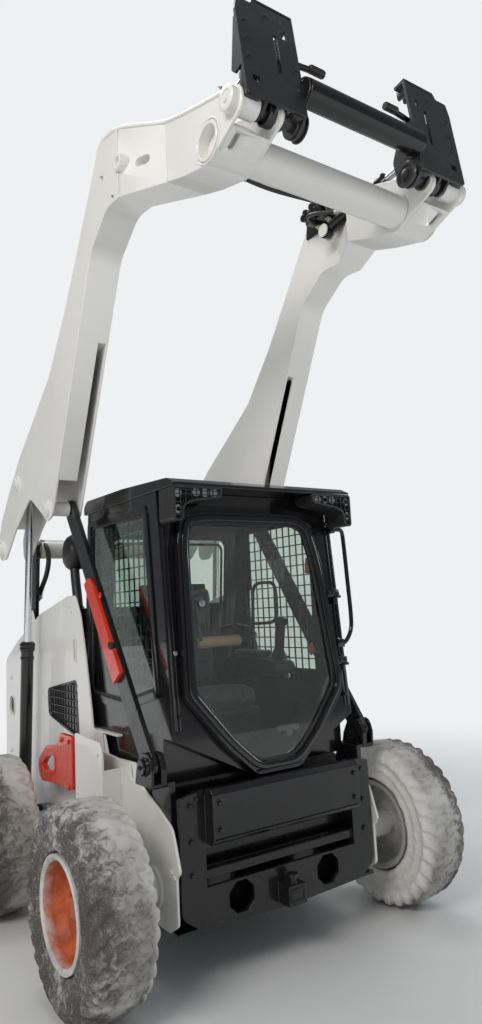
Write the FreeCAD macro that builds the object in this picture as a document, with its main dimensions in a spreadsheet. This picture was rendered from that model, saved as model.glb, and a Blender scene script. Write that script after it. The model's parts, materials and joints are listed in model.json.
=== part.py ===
import FreeCAD, Part
import Sketcher
import math
import os

# Skid steer loader with vertical-lift arms, raised, and a tool carrier at their tips.
# X runs across the machine (+X is its left side), -Y is its front and +Z is up.
# Lengths are in millimetres. The pieces are drawn with Y = 0 at the front axle and
# each one is then placed by front_axle_y, so that the origin is on the ground below
# the middle of the whole machine.

os.makedirs("parts", exist_ok=True)
doc = FreeCAD.newDocument("skid_steer_loader")
V = FreeCAD.Vector

SIZES = (
    # whole machine
    ("front_axle_y", -575, "front axle from the origin, along Y"),
    ("wheelbase", 1280, "front axle to rear axle"),
    # wheels
    ("wheel_radius", 400, "outside of the tread blocks"),
    ("tread_depth", 14, "height of the worn tread blocks"),
    ("tyre_width", 286, "width over the sidewalls"),
    ("wheel_mid_x", 837, "middle plane of each wheel from the machine's middle"),
    ("rim_radius", 214, "rim flange radius"),
    ("rim_wall", 9, "rim and disc thickness"),
    ("hub_radius", 84, "hub radius inside the rim"),
    ("stub_radius", 46, "shaft that the wheel runs on"),
    ("running_gap", 0.05, "radial clearance of every running fit"),
    ("axle_radius", 64, "axle tube radius"),
    # frame
    ("side_face", 545, "outer face of the frame's side plates"),
    ("side_plate", 12, "thickness of the side plates"),
    ("ledge_width", 29, "fender ledge inside each side plate"),
    ("floor_z", 246, "underside of the frame"),
    ("frame_rear", 2080, "rear end of the frame's side plates"),
    ("tower_top", 1640, "top of the rear towers"),
    ("face_y", -190, "front face of the front plate"),
    ("face_plate", 20, "front plate thickness"),
    ("face_half", 523, "half width of the front plate"),
    ("bumper_half", 402, "half width of the bumper box"),
    ("bumper_top", 802, "top of the bumper box"),
    ("bumper_foot", 580, "underside of the bumper box"),
    ("post_top", 776, "top of the front plate's posts beside the bumper box"),
    ("face_top", 412, "top of the front plate between its posts"),
    ("tow_hole", 62, "half width of the octagonal tow holes"),
    ("foot_wall_y", -96, "foot wall's front face"),
    ("fender_out", 95, "outer wall of the fender box from the side plate"),
    ("hook_out", 85, "tie-down hook from the side plate"),
    ("hitch_y", 76, "hitch pin behind the frame's rear end"),
    ("hitch_radius", 20, "hitch pin bore radius"),
    ("hood_drop", 70, "engine hood below the tower top at its front"),
    ("hood_sheet", 28, "depth of the engine hood's edge"),
    ("hood_half", 488, "half width of the engine hood and of the rear cross tube"),
    # cab
    ("cab_half", 500, "half width of the cab"),
    ("cab_wall", 34, "cab panel thickness"),
    ("cab_base", 800, "underside of the cab"),
    ("cab_top", 2062, "top of the cab's walls"),
    ("cab_front", -140, "cab front wall's face at its foot, along Y"),
    ("cab_lean", 4.6, "lean of the cab's front wall in degrees"),
    ("cab_back", 850, "cab rear wall's face at its foot, along Y"),
    ("door_thick", 40, "front door thickness"),
    ("door_gap", 5, "door to the cab's front wall"),
    ("door_hinge_in", 48, "front door's hinge axis from the cab's side face"),
    ("hinge_pin", 7, "radius of the door and tailgate hinge pins"),
    ("gate_hinge_x", 527, "tailgate's hinge axis, across the machine"),
    ("gate_thick", 44, "tailgate thickness"),
    ("door_rail", 52, "width of the door's frame around its glass"),
    ("glass", 6, "window thickness"),
    ("mesh_pitch", 55, "pitch of the window guards' mesh"),
    ("mesh_bar", 6, "bar width of the window guards' mesh"),
    # lift arms
    ("arm_inner", 556, "inner face of the arm"),
    ("arm_outer", 716, "outer face of the arm"),
    ("arm_plate", 12, "arm plate thickness"),
    ("link_slot", 40, "slot in the arm's front that the lowered link enters"),
    ("nose_inner", 410, "inner face of the arm's nose"),
    ("nose_outer", 600, "outer face of the arm's nose"),
    ("tip_y", -930, "carrier hinge, along Y"),
    ("tip_z", 3340, "carrier hinge, height"),
    ("drop_y", 755, "control link's upper pivot, along Y"),
    ("drop_z", 2090, "control link's upper pivot, height"),
    ("link_y", -80, "control link's lower pivot, along Y"),
    ("link_z", 900, "control link's lower pivot, height"),
    ("rear_pin_y", 1550, "rear link's upper pivot, along Y"),
    ("rear_pin_z", 1955, "rear link's upper pivot, height"),
    ("rear_base_y", 1595, "rear link's lower pivot, along Y"),
    ("rear_base_z", 1530, "rear link's lower pivot, height"),
    ("link_face", 576, "inner face of the links"),
    ("link_plate", 24, "link thickness"),
    ("rear_link_face", 500, "inner face of the rear links"),
    ("pin_radius", 26, "pivot pin radius"),
    ("boss_radius", 50, "pivot boss radius"),
    ("front_tube", 75, "front cross tube radius"),
    ("rear_tube", 58, "rear cross tube radius"),
    ("tube_behind", 180, "front cross tube behind the carrier hinge"),
    ("tube_below", 50, "front cross tube below the carrier hinge"),
    # lift cylinders
    ("lift_x", 640, "lift cylinder from the machine's middle"),
    ("lift_base_y", 1420, "lift cylinder's lower eye, along Y"),
    ("lift_base_z", 420, "lift cylinder's lower eye, height"),
    ("lift_top_y", 1250, "lift cylinder's upper eye, along Y"),
    ("lift_top_z", 2310, "lift cylinder's upper eye, height"),
    ("lift_barrel", 35, "lift barrel radius"),
    ("lift_rod", 21, "lift rod radius"),
    ("lift_barrel_end", 975, "lower eye to the top of the barrel"),
    ("lift_rod_length", 968, "upper eye to the rod's inner end"),
    # tilt cylinders
    ("tilt_x", 470, "tilt cylinder from the machine's middle"),
    ("tilt_base_y", -220, "tilt cylinder's arm eye, along Y"),
    ("tilt_base_z", 3470, "tilt cylinder's arm eye, height"),
    ("tilt_top_y", -880, "tilt cylinder's carrier eye, along Y"),
    ("tilt_top_z", 3550, "tilt cylinder's carrier eye, height"),
    ("tilt_barrel", 33, "tilt barrel radius"),
    ("tilt_rod", 18, "tilt rod radius"),
    ("tilt_barrel_end", 436, "arm eye to the end of the barrel"),
    ("tilt_rod_length", 460, "carrier eye to the rod's inner end"),
    # tool carrier
    ("carrier_inner", 313, "inner edge of each carrier plate"),
    ("carrier_outer", 590, "outer edge of each carrier plate"),
    ("carrier_height", 462, "carrier plate height"),
    ("carrier_lean", 7.6, "carrier plate lean in degrees"),
    ("carrier_gap", 62, "back of the carrier plate to its hinge axis"),
    ("carrier_plate", 12, "carrier plate thickness"),
    ("carrier_tube", 52, "carrier tube radius"),
)

sheet = doc.addObject("Spreadsheet::Sheet", "Sizes")
for row, (alias, value, note) in enumerate(SIZES, start=1):
    sheet.set("A%d" % row, alias)
    sheet.set("B%d" % row, str(value))
    sheet.set("C%d" % row, note)
    sheet.setAlias("B%d" % row, alias)
doc.recompute()


def size(name):
    return float(sheet.get(name))


def bind(obj, prop, formula):
    # A formula names sizes of the sheet with a leading @.
    obj.setExpression(prop, str(formula).replace("@", "Sizes."))


ROLES = {"XY": "XY_Plane", "XZ": "XZ_Plane", "YZ": "YZ_Plane"}


def outline_edges(points, radius):
    # Straight runs joined by tangent arcs. A point may carry its own corner radius.
    count = len(points)
    starts = []
    ends = []
    arcs = []
    for i, point in enumerate(points):
        here = V(point[0], point[1], 0)
        before = V(points[i - 1][0], points[i - 1][1], 0)
        after = V(points[(i + 1) % count][0], points[(i + 1) % count][1], 0)
        corner = point[2] if len(point) > 2 else radius
        a = (before - here)
        b = (after - here)
        la = a.Length
        lb = b.Length
        a.normalize()
        b.normalize()
        turn = math.acos(max(-1.0, min(1.0, a.dot(b))))
        if corner <= 0 or turn > math.pi - 0.02:
            ends.append(here)
            starts.append(here)
            arcs.append(None)
            continue
        run = min(corner / math.tan(turn / 2.0), 0.48 * la, 0.48 * lb)
        corner = run * math.tan(turn / 2.0)
        p = here + a * run
        q = here + b * run
        bisector = a + b
        bisector.normalize()
        centre = here + bisector * (corner / math.sin(turn / 2.0))
        middle = centre - bisector * corner
        ends.append(p)
        starts.append(q)
        arcs.append((p, middle, q))
    edges = []
    for i in range(count):
        if arcs[i]:
            edges.append(Part.Arc(*arcs[i]))
        a = starts[i]
        b = ends[(i + 1) % count]
        if (b - a).Length > 1e-6:
            edges.append(Part.LineSegment(a, b))
    return edges


def new_sketch(body, plane, offset, name):
    origin_plane = [f for f in body.Origin.OriginFeatures if f.Role == ROLES[plane]][0]
    sketch = body.newObject("Sketcher::SketchObject", name)
    sketch.AttachmentSupport = [(origin_plane, "")]
    sketch.MapMode = "FlatFace"
    if plane == "XZ":
        bind(sketch, "AttachmentOffset.Base.z", "-(%s)" % offset)
    else:
        bind(sketch, "AttachmentOffset.Base.z", offset)
    return sketch


def prism(name, plane, offset, depth, points, radius=0.0, holes=()):
    # A flat piece: an outline in one plane, padded by depth along +X, +Y or +Z.
    body = doc.addObject("PartDesign::Body", name)
    sketch = new_sketch(body, plane, offset, name + "_outline")
    sketch.addGeometry(outline_edges(points, radius), False)
    for hole in holes:
        if len(hole) == 3 and not isinstance(hole[0], (tuple, list)):
            circle = Part.Circle(V(hole[0], hole[1], 0), V(0, 0, 1), hole[2])
            sketch.addGeometry(circle, False)
        else:
            sketch.addGeometry(outline_edges(hole[0], hole[1]), False)
    pad = body.newObject("PartDesign::Pad", name + "_pad")
    pad.Profile = sketch
    bind(pad, "Length", depth)
    pad.Reversed = plane == "XZ"
    sketch.Visibility = False
    return body


def turned(name, plane, axis_point, axis_dir, points, radius=0.0, angle=360.0):
    # A turned piece: an outline revolved about a line of its own sketch.
    body = doc.addObject("PartDesign::Body", name)
    sketch = new_sketch(body, plane, "0", name + "_outline")
    sketch.addGeometry(outline_edges(points, radius), False)
    line = Part.LineSegment(
        V(axis_point[0], axis_point[1], 0),
        V(axis_point[0] + axis_dir[0], axis_point[1] + axis_dir[1], 0))
    sketch.addGeometry(line, True)
    rev = body.newObject("PartDesign::Revolution", name + "_turn")
    rev.Profile = sketch
    rev.ReferenceAxis = (sketch, ["Axis0"])
    rev.Angle = angle
    return body


def box(name, x, y, z, dx, dy, dz):
    b = doc.addObject("Part::Box", name)
    bind(b, "Length", dx)
    bind(b, "Width", dy)
    bind(b, "Height", dz)
    for key, formula in (("x", x), ("y", y), ("z", z)):
        bind(b, "Placement.Base." + key, formula)
    return b


def rod_x(name, x0, length, y, z, radius):
    # A round piece whose axis runs along +X.
    c = doc.addObject("Part::Cylinder", name)
    c.Placement = FreeCAD.Placement(V(0, 0, 0), FreeCAD.Rotation(V(0, 1, 0), 90))
    bind(c, "Radius", radius)
    bind(c, "Height", length)
    for key, formula in (("x", x0), ("y", y), ("z", z)):
        bind(c, "Placement.Base." + key, formula)
    return c


def rod_z(name, x, y, z0, length, radius):
    # A round piece whose axis runs along +Z.
    c = doc.addObject("Part::Cylinder", name)
    bind(c, "Radius", radius)
    bind(c, "Height", length)
    for key, formula in (("x", x), ("y", y), ("z", z0)):
        bind(c, "Placement.Base." + key, formula)
    return c


def rod_between(name, p, q, radius):
    # A round piece from p to q.
    c = doc.addObject("Part::Cylinder", name)
    line = V(*q) - V(*p)
    turn = FreeCAD.Rotation(V(0, 0, 1), line)
    c.Placement = FreeCAD.Placement(V(*p), turn)
    bind(c, "Radius", radius)
    c.Height = line.Length
    return c


def fuse(name, items):
    if len(items) == 1:
        return items[0]
    f = doc.addObject("Part::MultiFuse", name)
    f.Shapes = items
    return f


def cut(name, base, tools):
    c = doc.addObject("Part::Cut", name)
    c.Base = base
    c.Tool = tools[0] if len(tools) == 1 else fuse(name + "_tools", tools)
    return c


def mirror(name, item):
    # The same piece on the machine's other side.
    other = doc.addObject("Part::Mirroring", name)
    other.Source = item
    other.Normal = V(1, 0, 0)
    other.Base = V(0, 0, 0)
    return other


NODES = []


def node(label, items, both=False):
    # One named piece of the machine; both adds its mirror image.
    if both:
        items = items + [mirror(label + "_other_%d" % i, item) for i, item in enumerate(items)]
    if len(items) == 1:
        items = [items[0]]
    holder = doc.addObject("Part::Compound", label)
    holder.Links = items
    holder.Label = label
    bind(holder, "Placement.Base.y", "@front_axle_y")
    NODES.append(holder)
    return holder


def along(p, q, distance):
    # The point at a distance from p on the way to q.
    length = math.hypot(q[0] - p[0], q[1] - p[1])
    return (p[0] + (q[0] - p[0]) * distance / length, p[1] + (q[1] - p[1]) * distance / length)


def strip(p, q, half_p, half_q, out_p=0.0, out_q=0.0):
    # Four corners of a bar from p to q, with its own half width at each end.
    length = math.hypot(q[0] - p[0], q[1] - p[1])
    u = ((q[0] - p[0]) / length, (q[1] - p[1]) / length)
    n = (-u[1], u[0])
    a = (p[0] - u[0] * out_p, p[1] - u[1] * out_p)
    b = (q[0] + u[0] * out_q, q[1] + u[1] * out_q)
    return [
        (a[0] - n[0] * half_p, a[1] - n[1] * half_p),
        (b[0] - n[0] * half_q, b[1] - n[1] * half_q),
        (b[0] + n[0] * half_q, b[1] + n[1] * half_q),
        (a[0] + n[0] * half_p, a[1] + n[1] * half_p),
    ]


TIP = (size("tip_y"), size("tip_z"))
DROP = (size("drop_y"), size("drop_z"))
LINK = (size("link_y"), size("link_z"))
REAR_PIN = (size("rear_pin_y"), size("rear_pin_z"))
REAR_BASE = (size("rear_base_y"), size("rear_base_z"))
LIFT_BASE = (size("lift_base_y"), size("lift_base_z"))
LIFT_TOP = (size("lift_top_y"), size("lift_top_z"))
TILT_BASE = (size("tilt_base_y"), size("tilt_base_z"))
TILT_TOP = (size("tilt_top_y"), size("tilt_top_z"))
BASE = size("wheelbase")
BOSS = size("boss_radius")

SIDE_IN = size("side_face") - size("side_plate")
REAR_END = size("frame_rear")
FLOOR = size("floor_z")
TOP = size("tower_top")


# Frame: side plates with the rear towers, floor, bulkheads and wheel housings.
side = prism("frame_side", "YZ", "@side_face - @side_plate", "@side_plate", [
    (-190, FLOOR + 50, 25), (-190, 480, 30), (-222, 500, 30), (-192, 590, 60), (-165, 662, 60),
    (-60, 716, 120), (96, 782, 60), (204, 802, 8), (214, 862, 20), (512, 878, 10), (522, 960, 15),
    (628, 975, 10), (640, 1040, 80), (703, 1310, 200),
    (765, 1525, 80), (838, TOP, 45), (945, TOP, 60), (1406, TOP - 88, 200),
    (REAR_BASE[0] - 90, TOP - 128, 30), (REAR_BASE[0] - 44, REAR_BASE[1] + 58, 44),
    (REAR_BASE[0] + 44, REAR_BASE[1] + 58, 44), (REAR_BASE[0] + 98, TOP - 196, 30),
    (1804, TOP - 236, 90), (REAR_END, 1270, 60), (REAR_END, 420, 80),
    (REAR_END - 160, FLOOR + 8, 60), (-120, FLOOR + 8, 30)],
    holes=(
        ([(805, 904), (1248, 990), (1260, 1127), (834, 1194)], 30),
        ([(826, 1300), (850, 1300), (850, 1410), (826, 1410)], 11.9),
        ([(1900, 930), (1985, 930), (1985, 1040), (1900, 1040)], 38)))
ledge = box("fender_ledge", "@side_face - @side_plate - @ledge_width", 362, 958, "@ledge_width", 500, 12)
fender = [
    box("fender_shelf", "@side_face", 300, 640, "@fender_out", 326, 12),
    box("fender_front", "@side_face", 300, 640, "@fender_out", 12, 190),
    prism("fender_wall", "YZ", "@side_face + @fender_out - 12", 12, [
        (300, 640, 0), (300, 900, 30), (330, 952, 20), (626, 965, 12), (626, 640, 0)]),
]
node("frame_sides", [fuse("frame_side_with_fender", [side, ledge] + fender)], both=True)

floor = box("frame_floor", "-@side_face + @side_plate", "@face_y + @face_plate", "@floor_z",
            "2 * (@side_face - @side_plate)", "@frame_rear - @face_y - @face_plate - 160", 12)
bulkhead = box("rear_bulkhead", "-@side_face + @side_plate", "@cab_back + 40", "@floor_z",
               "2 * (@side_face - @side_plate)", 10, "@tower_top - @hood_drop - @hood_sheet - @floor_z")
foot_wall = box("foot_wall", "-@side_face + @side_plate", "@foot_wall_y", "@floor_z",
                "2 * (@side_face - @side_plate)", 12, "@bumper_foot - @floor_z")
seat_wall = box("seat_wall", "-@side_face + @side_plate", 330, "@floor_z",
                "2 * (@side_face - @side_plate)", 12, "@cab_base - @floor_z")
node("frame_tub", [fuse("tub", [floor, bulkhead, foot_wall, seat_wall])])

tubes = []
for name, y in (("front", 0), ("rear", "@wheelbase")):
    z = "@wheel_radius"
    tubes.append(fuse("axle_%s" % name, [
        rod_x("axle_tube_" + name, "@side_face", "@wheel_mid_x - @side_face - 60", y, z,
              "@axle_radius"),
        rod_x("axle_flange_" + name, "@side_face", 14, y, z, "@axle_radius + 20"),
        rod_x("axle_stub_" + name, "@side_face", "@wheel_mid_x - @side_face + 24", y, z,
              "@stub_radius")]))
node("axle_tubes", tubes, both=True)

HALF = size("face_half")
FACE_TOP = size("face_top")


def octagon(x, z, radius):
    corners = []
    for k in range(8):
        a = math.radians(22.5 + 45 * k)
        corners.append((x + radius * math.cos(a), z + radius * math.sin(a)))
    return corners


BH = size("bumper_half")
PT = size("post_top")
HOLE_R = size("tow_hole") / math.cos(math.radians(22.5))
front = prism("front_plate_body", "XZ", "@face_y", "@face_plate", [
    (-HALF, PT, 12), (-HALF, FLOOR + 70, 60), (-HALF + 90, FLOOR + 6, 60), (0, FLOOR - 8, 0),
    (HALF - 90, FLOOR + 6, 60), (HALF, FLOOR + 70, 60), (HALF, PT, 12), (BH, PT + 18, 0),
    (BH, FACE_TOP, 0), (-BH, FACE_TOP, 0), (-BH, PT + 18, 0)],
    holes=((octagon(-236, 338, HOLE_R), 0), (octagon(236, 338, HOLE_R), 0)))
beam = prism("front_beam", "YZ", "-@bumper_half", "2 * @bumper_half", [
    (-176, 436, 4), (-176, 474, 8), (-150, 482, 8), (-150, 436, 4)])
posts = [box("front_post_%d" % sign, "%d * @bumper_half - %d" % (sign, 0 if sign > 0 else 14),
             "@face_y + @face_plate", 430, 14, 66, "@post_top - 430") for sign in (-1, 1)]
hitch = [box("front_hitch", -48, "@face_y - 74", 262, 96, 75, 84),
         rod_z("front_hitch_pin", 0, "@face_y - 40", 250, 124, 17)]
node("front_plate", [fuse("front_plate_all", [front, beam] + posts + hitch)])

BT = size("bumper_top")
BF = size("bumper_foot")
FY = size("face_y")
bumper = prism("bumper_body", "YZ", "-@bumper_half", "2 * @bumper_half", [
    (FY + 20, BF, 0), (FY - 46, BF, 20), (FY - 65, BF + 22, 20), (FY - 65, BT - 22, 12),
    (FY - 48, BT, 12), (FY - 8, BT - 2, 8), (FY + 2, BT - 26, 8), (FY + 20, BT - 26, 0)])
node("bumper_box", [bumper])

# Control link brackets, cylinder brackets and rear link pivots on the frame.
WEB = LINK[1] - 80
ear = [(LINK[0] - 62, WEB, 10), (LINK[0] - 66, LINK[1] - 10, 30), (LINK[0] - 46, LINK[1] + 54, 40),
       (LINK[0] + 36, LINK[1] + 54, 40), (LINK[0] + 78, LINK[1] - 20, 30), (LINK[0] + 92, WEB, 10)]
inner_ear = prism("bracket_inner_ear", "YZ", "@side_face", "@link_face - @side_face - 4", ear, 24)
outer_ear = prism("bracket_outer_ear", "YZ", "@link_face + @link_plate + 4", 12, ear, 24)
base = box("bracket_web", "@cab_half + 5", LINK[0] - 58, "@link_z - 80",
           "@link_face + @link_plate + 16 - @cab_half - 5", 148, 16)
support = prism("bracket_support", "YZ", "@cab_half + 5", "@side_face - @side_plate - @cab_half - 5", [
    (LINK[0] - 58, BF, 10), (LINK[0] - 58, WEB + 14, 10), (LINK[0] + 90, WEB + 14, 10),
    (LINK[0] + 130, BF, 10)])
pins = [
    rod_x("link_pin", "@side_face", "@link_face + @link_plate + 24 - @side_face",
          LINK[0], LINK[1], "@pin_radius"),
    rod_x("link_pin_head", "@link_face + @link_plate + 16", 9, LINK[0], LINK[1], "@pin_radius + 12"),
]
rear_pivot = rod_x("rear_pivot_head", "@side_face", 5, REAR_BASE[0], REAR_BASE[1],
                   "@pin_radius + 10")
lift_pivot = [
    rod_x("lift_pivot_pin", "@side_face", "@lift_x + 42 - @side_face", LIFT_BASE[0], LIFT_BASE[1],
          "@pin_radius"),
    rod_x("lift_pivot_boss", "@side_face", "@lift_x - 36 - @side_face", LIFT_BASE[0], LIFT_BASE[1],
          "@boss_radius"),
]
node("link_brackets", [
    fuse("link_bracket", [inner_ear, outer_ear, base, support] + pins),
    rear_pivot,
    fuse("lift_pivot", lift_pivot)], both=True)

# Red tie-down hooks on stand-offs between the wheels.
hook = prism("hook_plate", "YZ", "@side_face + @hook_out", 22, [
    (640, 690, 14), (640, 946, 14), (800, 946, 30), (850, 880, 60), (1010, 862, 90), (1150, 760, 60),
    (1090, 668, 60), (860, 690, 60), (780, 690, 20)],
    holes=(([(870, 756), (1010, 734), (1062, 760), (1010, 800), (900, 828)], 26),))
stand = box("hook_stand", "@side_face", 650, 700, "@hook_out + 6", 130, 22)
node("tie_down_hooks", [fuse("hook", [hook, stand])], both=True)

# Cab: hollow shell, roof with visor, glass, guards, seat and controls.
CB = size("cab_base")
CT = size("cab_top")
CF = size("cab_front")
CR = size("cab_back")
W = size("cab_wall")
LEAN = math.tan(math.radians(size("cab_lean")))


def cab_front_y(z):
    return CF + (z - CB) * LEAN




def lean_back(item):
    # Drawn upright at Y = 0 and turned about the foot of the cab's front wall.
    turn = FreeCAD.Rotation(V(1, 0, 0), -size("cab_lean"))
    foot = V(0, CF, CB)
    where = FreeCAD.Placement(foot - turn.multVec(V(0, 0, CB)), turn)
    item.Placement = where.multiply(item.Placement)
    return item


DOOR_HINGES = (1230, 1560)
CAB = size("cab_half")
HINGE_X = CAB - size("door_hinge_in")
KNUCKLE = 40
shell = prism("cab_outside", "YZ", "-@cab_half", "2 * @cab_half", [
    (cab_front_y(CB), CB, 20), (cab_front_y(CT), CT, 0), (CR - 112, CT, 0), (CR, 1010, 60),
    (CR, CB, 20)])
room = prism("cab_room", "YZ", "-@cab_half + @cab_wall", "2 * (@cab_half - @cab_wall)", [
    (cab_front_y(CB) + W, CB + W, 10), (cab_front_y(CT) + W, CT - W, 30),
    (CR - 112 - W, CT - W, 30), (CR - W, 1010, 60), (CR - W, CB + W, 10)])
SIDE_WINDOW = [(15, 1192, 40), (82, 1980, 50), (692, 1990, 50), (735, 1140, 60), (330, 1118, 80)]
windows = prism("side_window_cut", "YZ", "-@cab_half - 10", "2 * @cab_half + 20", SIDE_WINDOW)
DOORWAY = [(104 - CAB, 1158, 30), (128 - CAB, 1925, 30), (250 - CAB, 1948, 60), (CAB - 250, 1948, 60),
           (CAB - 155, 1900, 60), (CAB - 104, 1180, 30), (CAB - 260, 968, 50), (110, 838, 60),
           (-110, 838, 60), (250 - CAB, 968, 50)]
doorway = prism("doorway_cut", "XZ", "@cab_front - 60", 250, DOORWAY)
REAR_WINDOW = [(140 - CAB, 1300), (CAB - 140, 1300), (CAB - 140, 1930), (140 - CAB, 1930)]
back_window = prism("rear_window_cut", "XZ", 620, 300, REAR_WINDOW, 40)
hinges = []
for k, z in enumerate(DOOR_HINGES):
    lug = fuse("cab_hinge_%d" % k, [
        rod_z("cab_lug_%d" % k, HINGE_X, -24, z - 34, 33.7, size("hinge_pin") + 5),
        rod_z("cab_pin_%d" % k, HINGE_X, -24, z - 34, KNUCKLE + 40, size("hinge_pin")),
        box("cab_lug_arm_%d" % k, HINGE_X - 10, -24, z - 34, 20, 26, 33.7)])
    hinges.append(lean_back(lug))
VEE = 990
VEE_DEEP = 104


def vee_corner(name, grow):
    # The corner below the cab's slanting front edge; grow leaves a wall round it.
    g = grow * 1.12
    return prism(name, "XZ", "@cab_front - 20", "%g + 20" % (VEE_DEEP + grow), [
        (CAB + 20, VEE + 10 + g), (CAB - 390 - grow, CB - 5 + 0.5 * grow + (g - 0.5 * grow)),
        (CAB - 390 - grow, CB - 40), (CAB + 20, CB - 40)])


corners = [vee_corner("vee_corner", 0.0)]
corners.append(mirror("vee_corner_other", corners[0]))
walls = [vee_corner("vee_wall", W - 10)]
walls.append(mirror("vee_wall_other", walls[0]))
room_left = cut("cab_room_left", room, walls)
cab_cut = cut("cab", shell, [room_left, windows, doorway, back_window] + corners)
node("cab_shell", [fuse("cab_with_hinges", [cab_cut] + hinges)])

roof = prism("roof_panel", "YZ", "-@cab_half - 6", "2 * @cab_half + 12", [
    (-206, CT, 0), (-206, CT + 16, 10), (-150, CT + 42, 60), (300, CT + 66, 400),
    (CR - 110, CT + 72, 60), (CR - 70, CT + 40, 30), (CR - 74, CT, 0)])
node("cab_roof", [roof])

def shrunk(points, by):
    # The same corners moved in by the same distance along both neighbouring runs.
    result = []
    count = len(points)
    for i in range(count):
        a = points[i - 1]
        b = points[i]
        c = points[(i + 1) % count]
        u = (b[0] - a[0], b[1] - a[1])
        w = (c[0] - b[0], c[1] - b[1])
        lu = math.hypot(*u)
        lw = math.hypot(*w)
        # Inward normals: the outline runs clockwise.
        n1 = (u[1] / lu, -u[0] / lu)
        n2 = (w[1] / lw, -w[0] / lw)
        k = 1.0 + n1[0] * n2[0] + n1[1] * n2[1]
        result.append((b[0] + by * (n1[0] + n2[0]) / k, b[1] + by * (n1[1] + n2[1]) / k, 30))
    return result


LAMP = [(CAB + 6, CT, 10), (CAB + 6, CT - 158, 24), (CAB - 42, CT - 150, 20), (CAB - 44, CT - 88, 30),
        (CAB - 90, CT - 66, 20), (CAB - 238, CT - 46, 20), (CAB - 244, CT, 10)]
lamps = prism("lamp_body", "XZ", "-200", 120, LAMP)
node("lamp_housings", [lamps], both=True)
lens = prism("lamp_lens", "XZ", "-206", 6, shrunk(LAMP, 13), 10)
node("lamp_lenses", [lens], both=True)

side_glass = prism("side_glass_pane", "YZ", "@cab_half - @glass - 4", "@glass", SIDE_WINDOW)


def cab_rear_y(z):
    return CR - 112 * (z - 1010) / (CT - 1010)


PANE = size("glass")
rear_sheet = prism("rear_glass_sheet", "YZ", "80 - @cab_half", "2 * @cab_half - 160", [
    (cab_rear_y(1250) - 20 - PANE, 1250), (cab_rear_y(1250) - 20, 1250),
    (cab_rear_y(1980) - 20, 1980), (cab_rear_y(1980) - 20 - PANE, 1980)])
rear_glass = doc.addObject("Part::Common", "rear_glass_pane")
rear_glass.Base = rear_sheet
rear_glass.Tool = back_window
node("cab_glass", [side_glass, mirror("side_glass_other", side_glass), rear_glass])



def inside(point, outline):
    # Whether a point lies within a clockwise outline without hollows.
    for i, b in enumerate(outline):
        a = outline[i - 1]
        if (b[0] - a[0]) * (point[1] - a[1]) - (b[1] - a[1]) * (point[0] - a[0]) > 0:
            return False
    return True


MESH = size("mesh_pitch")
BAR = size("mesh_bar")


def mesh_holes(outline, rim):
    # Square holes at the mesh's pitch, each wholly inside the outline's rim.
    limit = shrunk(outline, rim)
    low_y = min(p[0] for p in limit)
    low_z = min(p[1] for p in limit)
    holes = []
    for i in range(int((max(p[0] for p in limit) - low_y) / MESH) + 1):
        for j in range(int((max(p[1] for p in limit) - low_z) / MESH) + 1):
            y = low_y + 8 + i * MESH
            z = low_z + 8 + j * MESH
            side = MESH - BAR
            corners = [(y, z), (y + side, z), (y + side, z + side), (y, z + side)]
            if all(inside(c, limit) for c in corners):
                holes.append((corners, 0))
    return holes


guard = prism("guard_sheet", "YZ", "@cab_half - @cab_wall", 6, SIDE_WINDOW,
              holes=mesh_holes(SIDE_WINDOW, 16))
node("window_guards", [guard], both=True)

seat_box = box("seat_box", -245, 300, "@cab_base + @cab_wall", 490, 440, 190)
cushion = prism("seat_cushion", "YZ", -235, 470, [
    (255, 1020), (690, 1020), (700, 1120), (600, 1132), (300, 1150), (250, 1120)], 25)
back = prism("seat_back", "YZ", -215, 430, [
    (570, 1090), (660, 1090), (718, 1640), (684, 1690), (634, 1680)], 30)
node("seat", [fuse("seat_all", [seat_box, cushion, back])])

console = prism("console_box", "YZ", 262, 130, [
    (150, 1180), (600, 1180), (640, 1260), (300, 1262), (180, 1240)], 25)
post = box("console_post", 290, 480, "@cab_base + @cab_wall", 60, 90, 360)
stick = prism("joystick", "YZ", 310, 34, [
    (205, 1236), (240, 1236), (222, 1400), (190, 1410), (176, 1390)], 10)
node("consoles", [fuse("console", [console, post, stick])], both=True)

bar = [rod_z("grab_bar_tube", "@cab_half - 16", -50, 1240, 460, 11)]
for k, z in enumerate((1250, 1690)):
    bar.append(rod_between("grab_bar_foot_%d" % k, (CAB - 16, -50, z), (CAB - 16, 0, z), 8))
node("grab_bar", [lean_back(fuse("grab_bar_all", bar))])

# Engine, its hood, the tower grilles, the air duct and the rear bumper.
node("engine_block", [box("engine", -330, "@cab_back + 150", "@floor_z + 12", 660, 860, 800)])
HOOD_LINE = [(size("cab_back") + 40, TOP - size("hood_drop")), (size("cab_back") + 60, TOP - size("hood_drop")),
             (1400, TOP - 118), (1796, TOP - 262), (REAR_END, 1246)]
hood = prism("hood_panel", "YZ", "-@hood_half", "2 * @hood_half",
             HOOD_LINE + [(y, z - size("hood_sheet")) for y, z in reversed(HOOD_LINE)])
node("engine_hood", [hood])
grille = prism("grille_sheet", "YZ", "@side_face - @side_plate + 3", 3, [
    (805, 904), (1248, 990), (1260, 1127), (834, 1194)], 30)
node("tower_grilles", [grille], both=True)
duct = prism("duct_body", "YZ", "@cab_half", 32, [
    (380, 1002), (560, 1010), (600, 1120), (560, 1230), (470, 1240), (400, 1150)], 40)
node("air_duct", [duct], both=False)
rear_bar = box("rear_bar", "-@side_face", "@frame_rear", 420, "2 * @side_face", 50, 150)
hitch_block = box("hitch_block", -70, "@frame_rear + 10", 465, 140, "@hitch_y + 40 - 10", 60)
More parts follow.
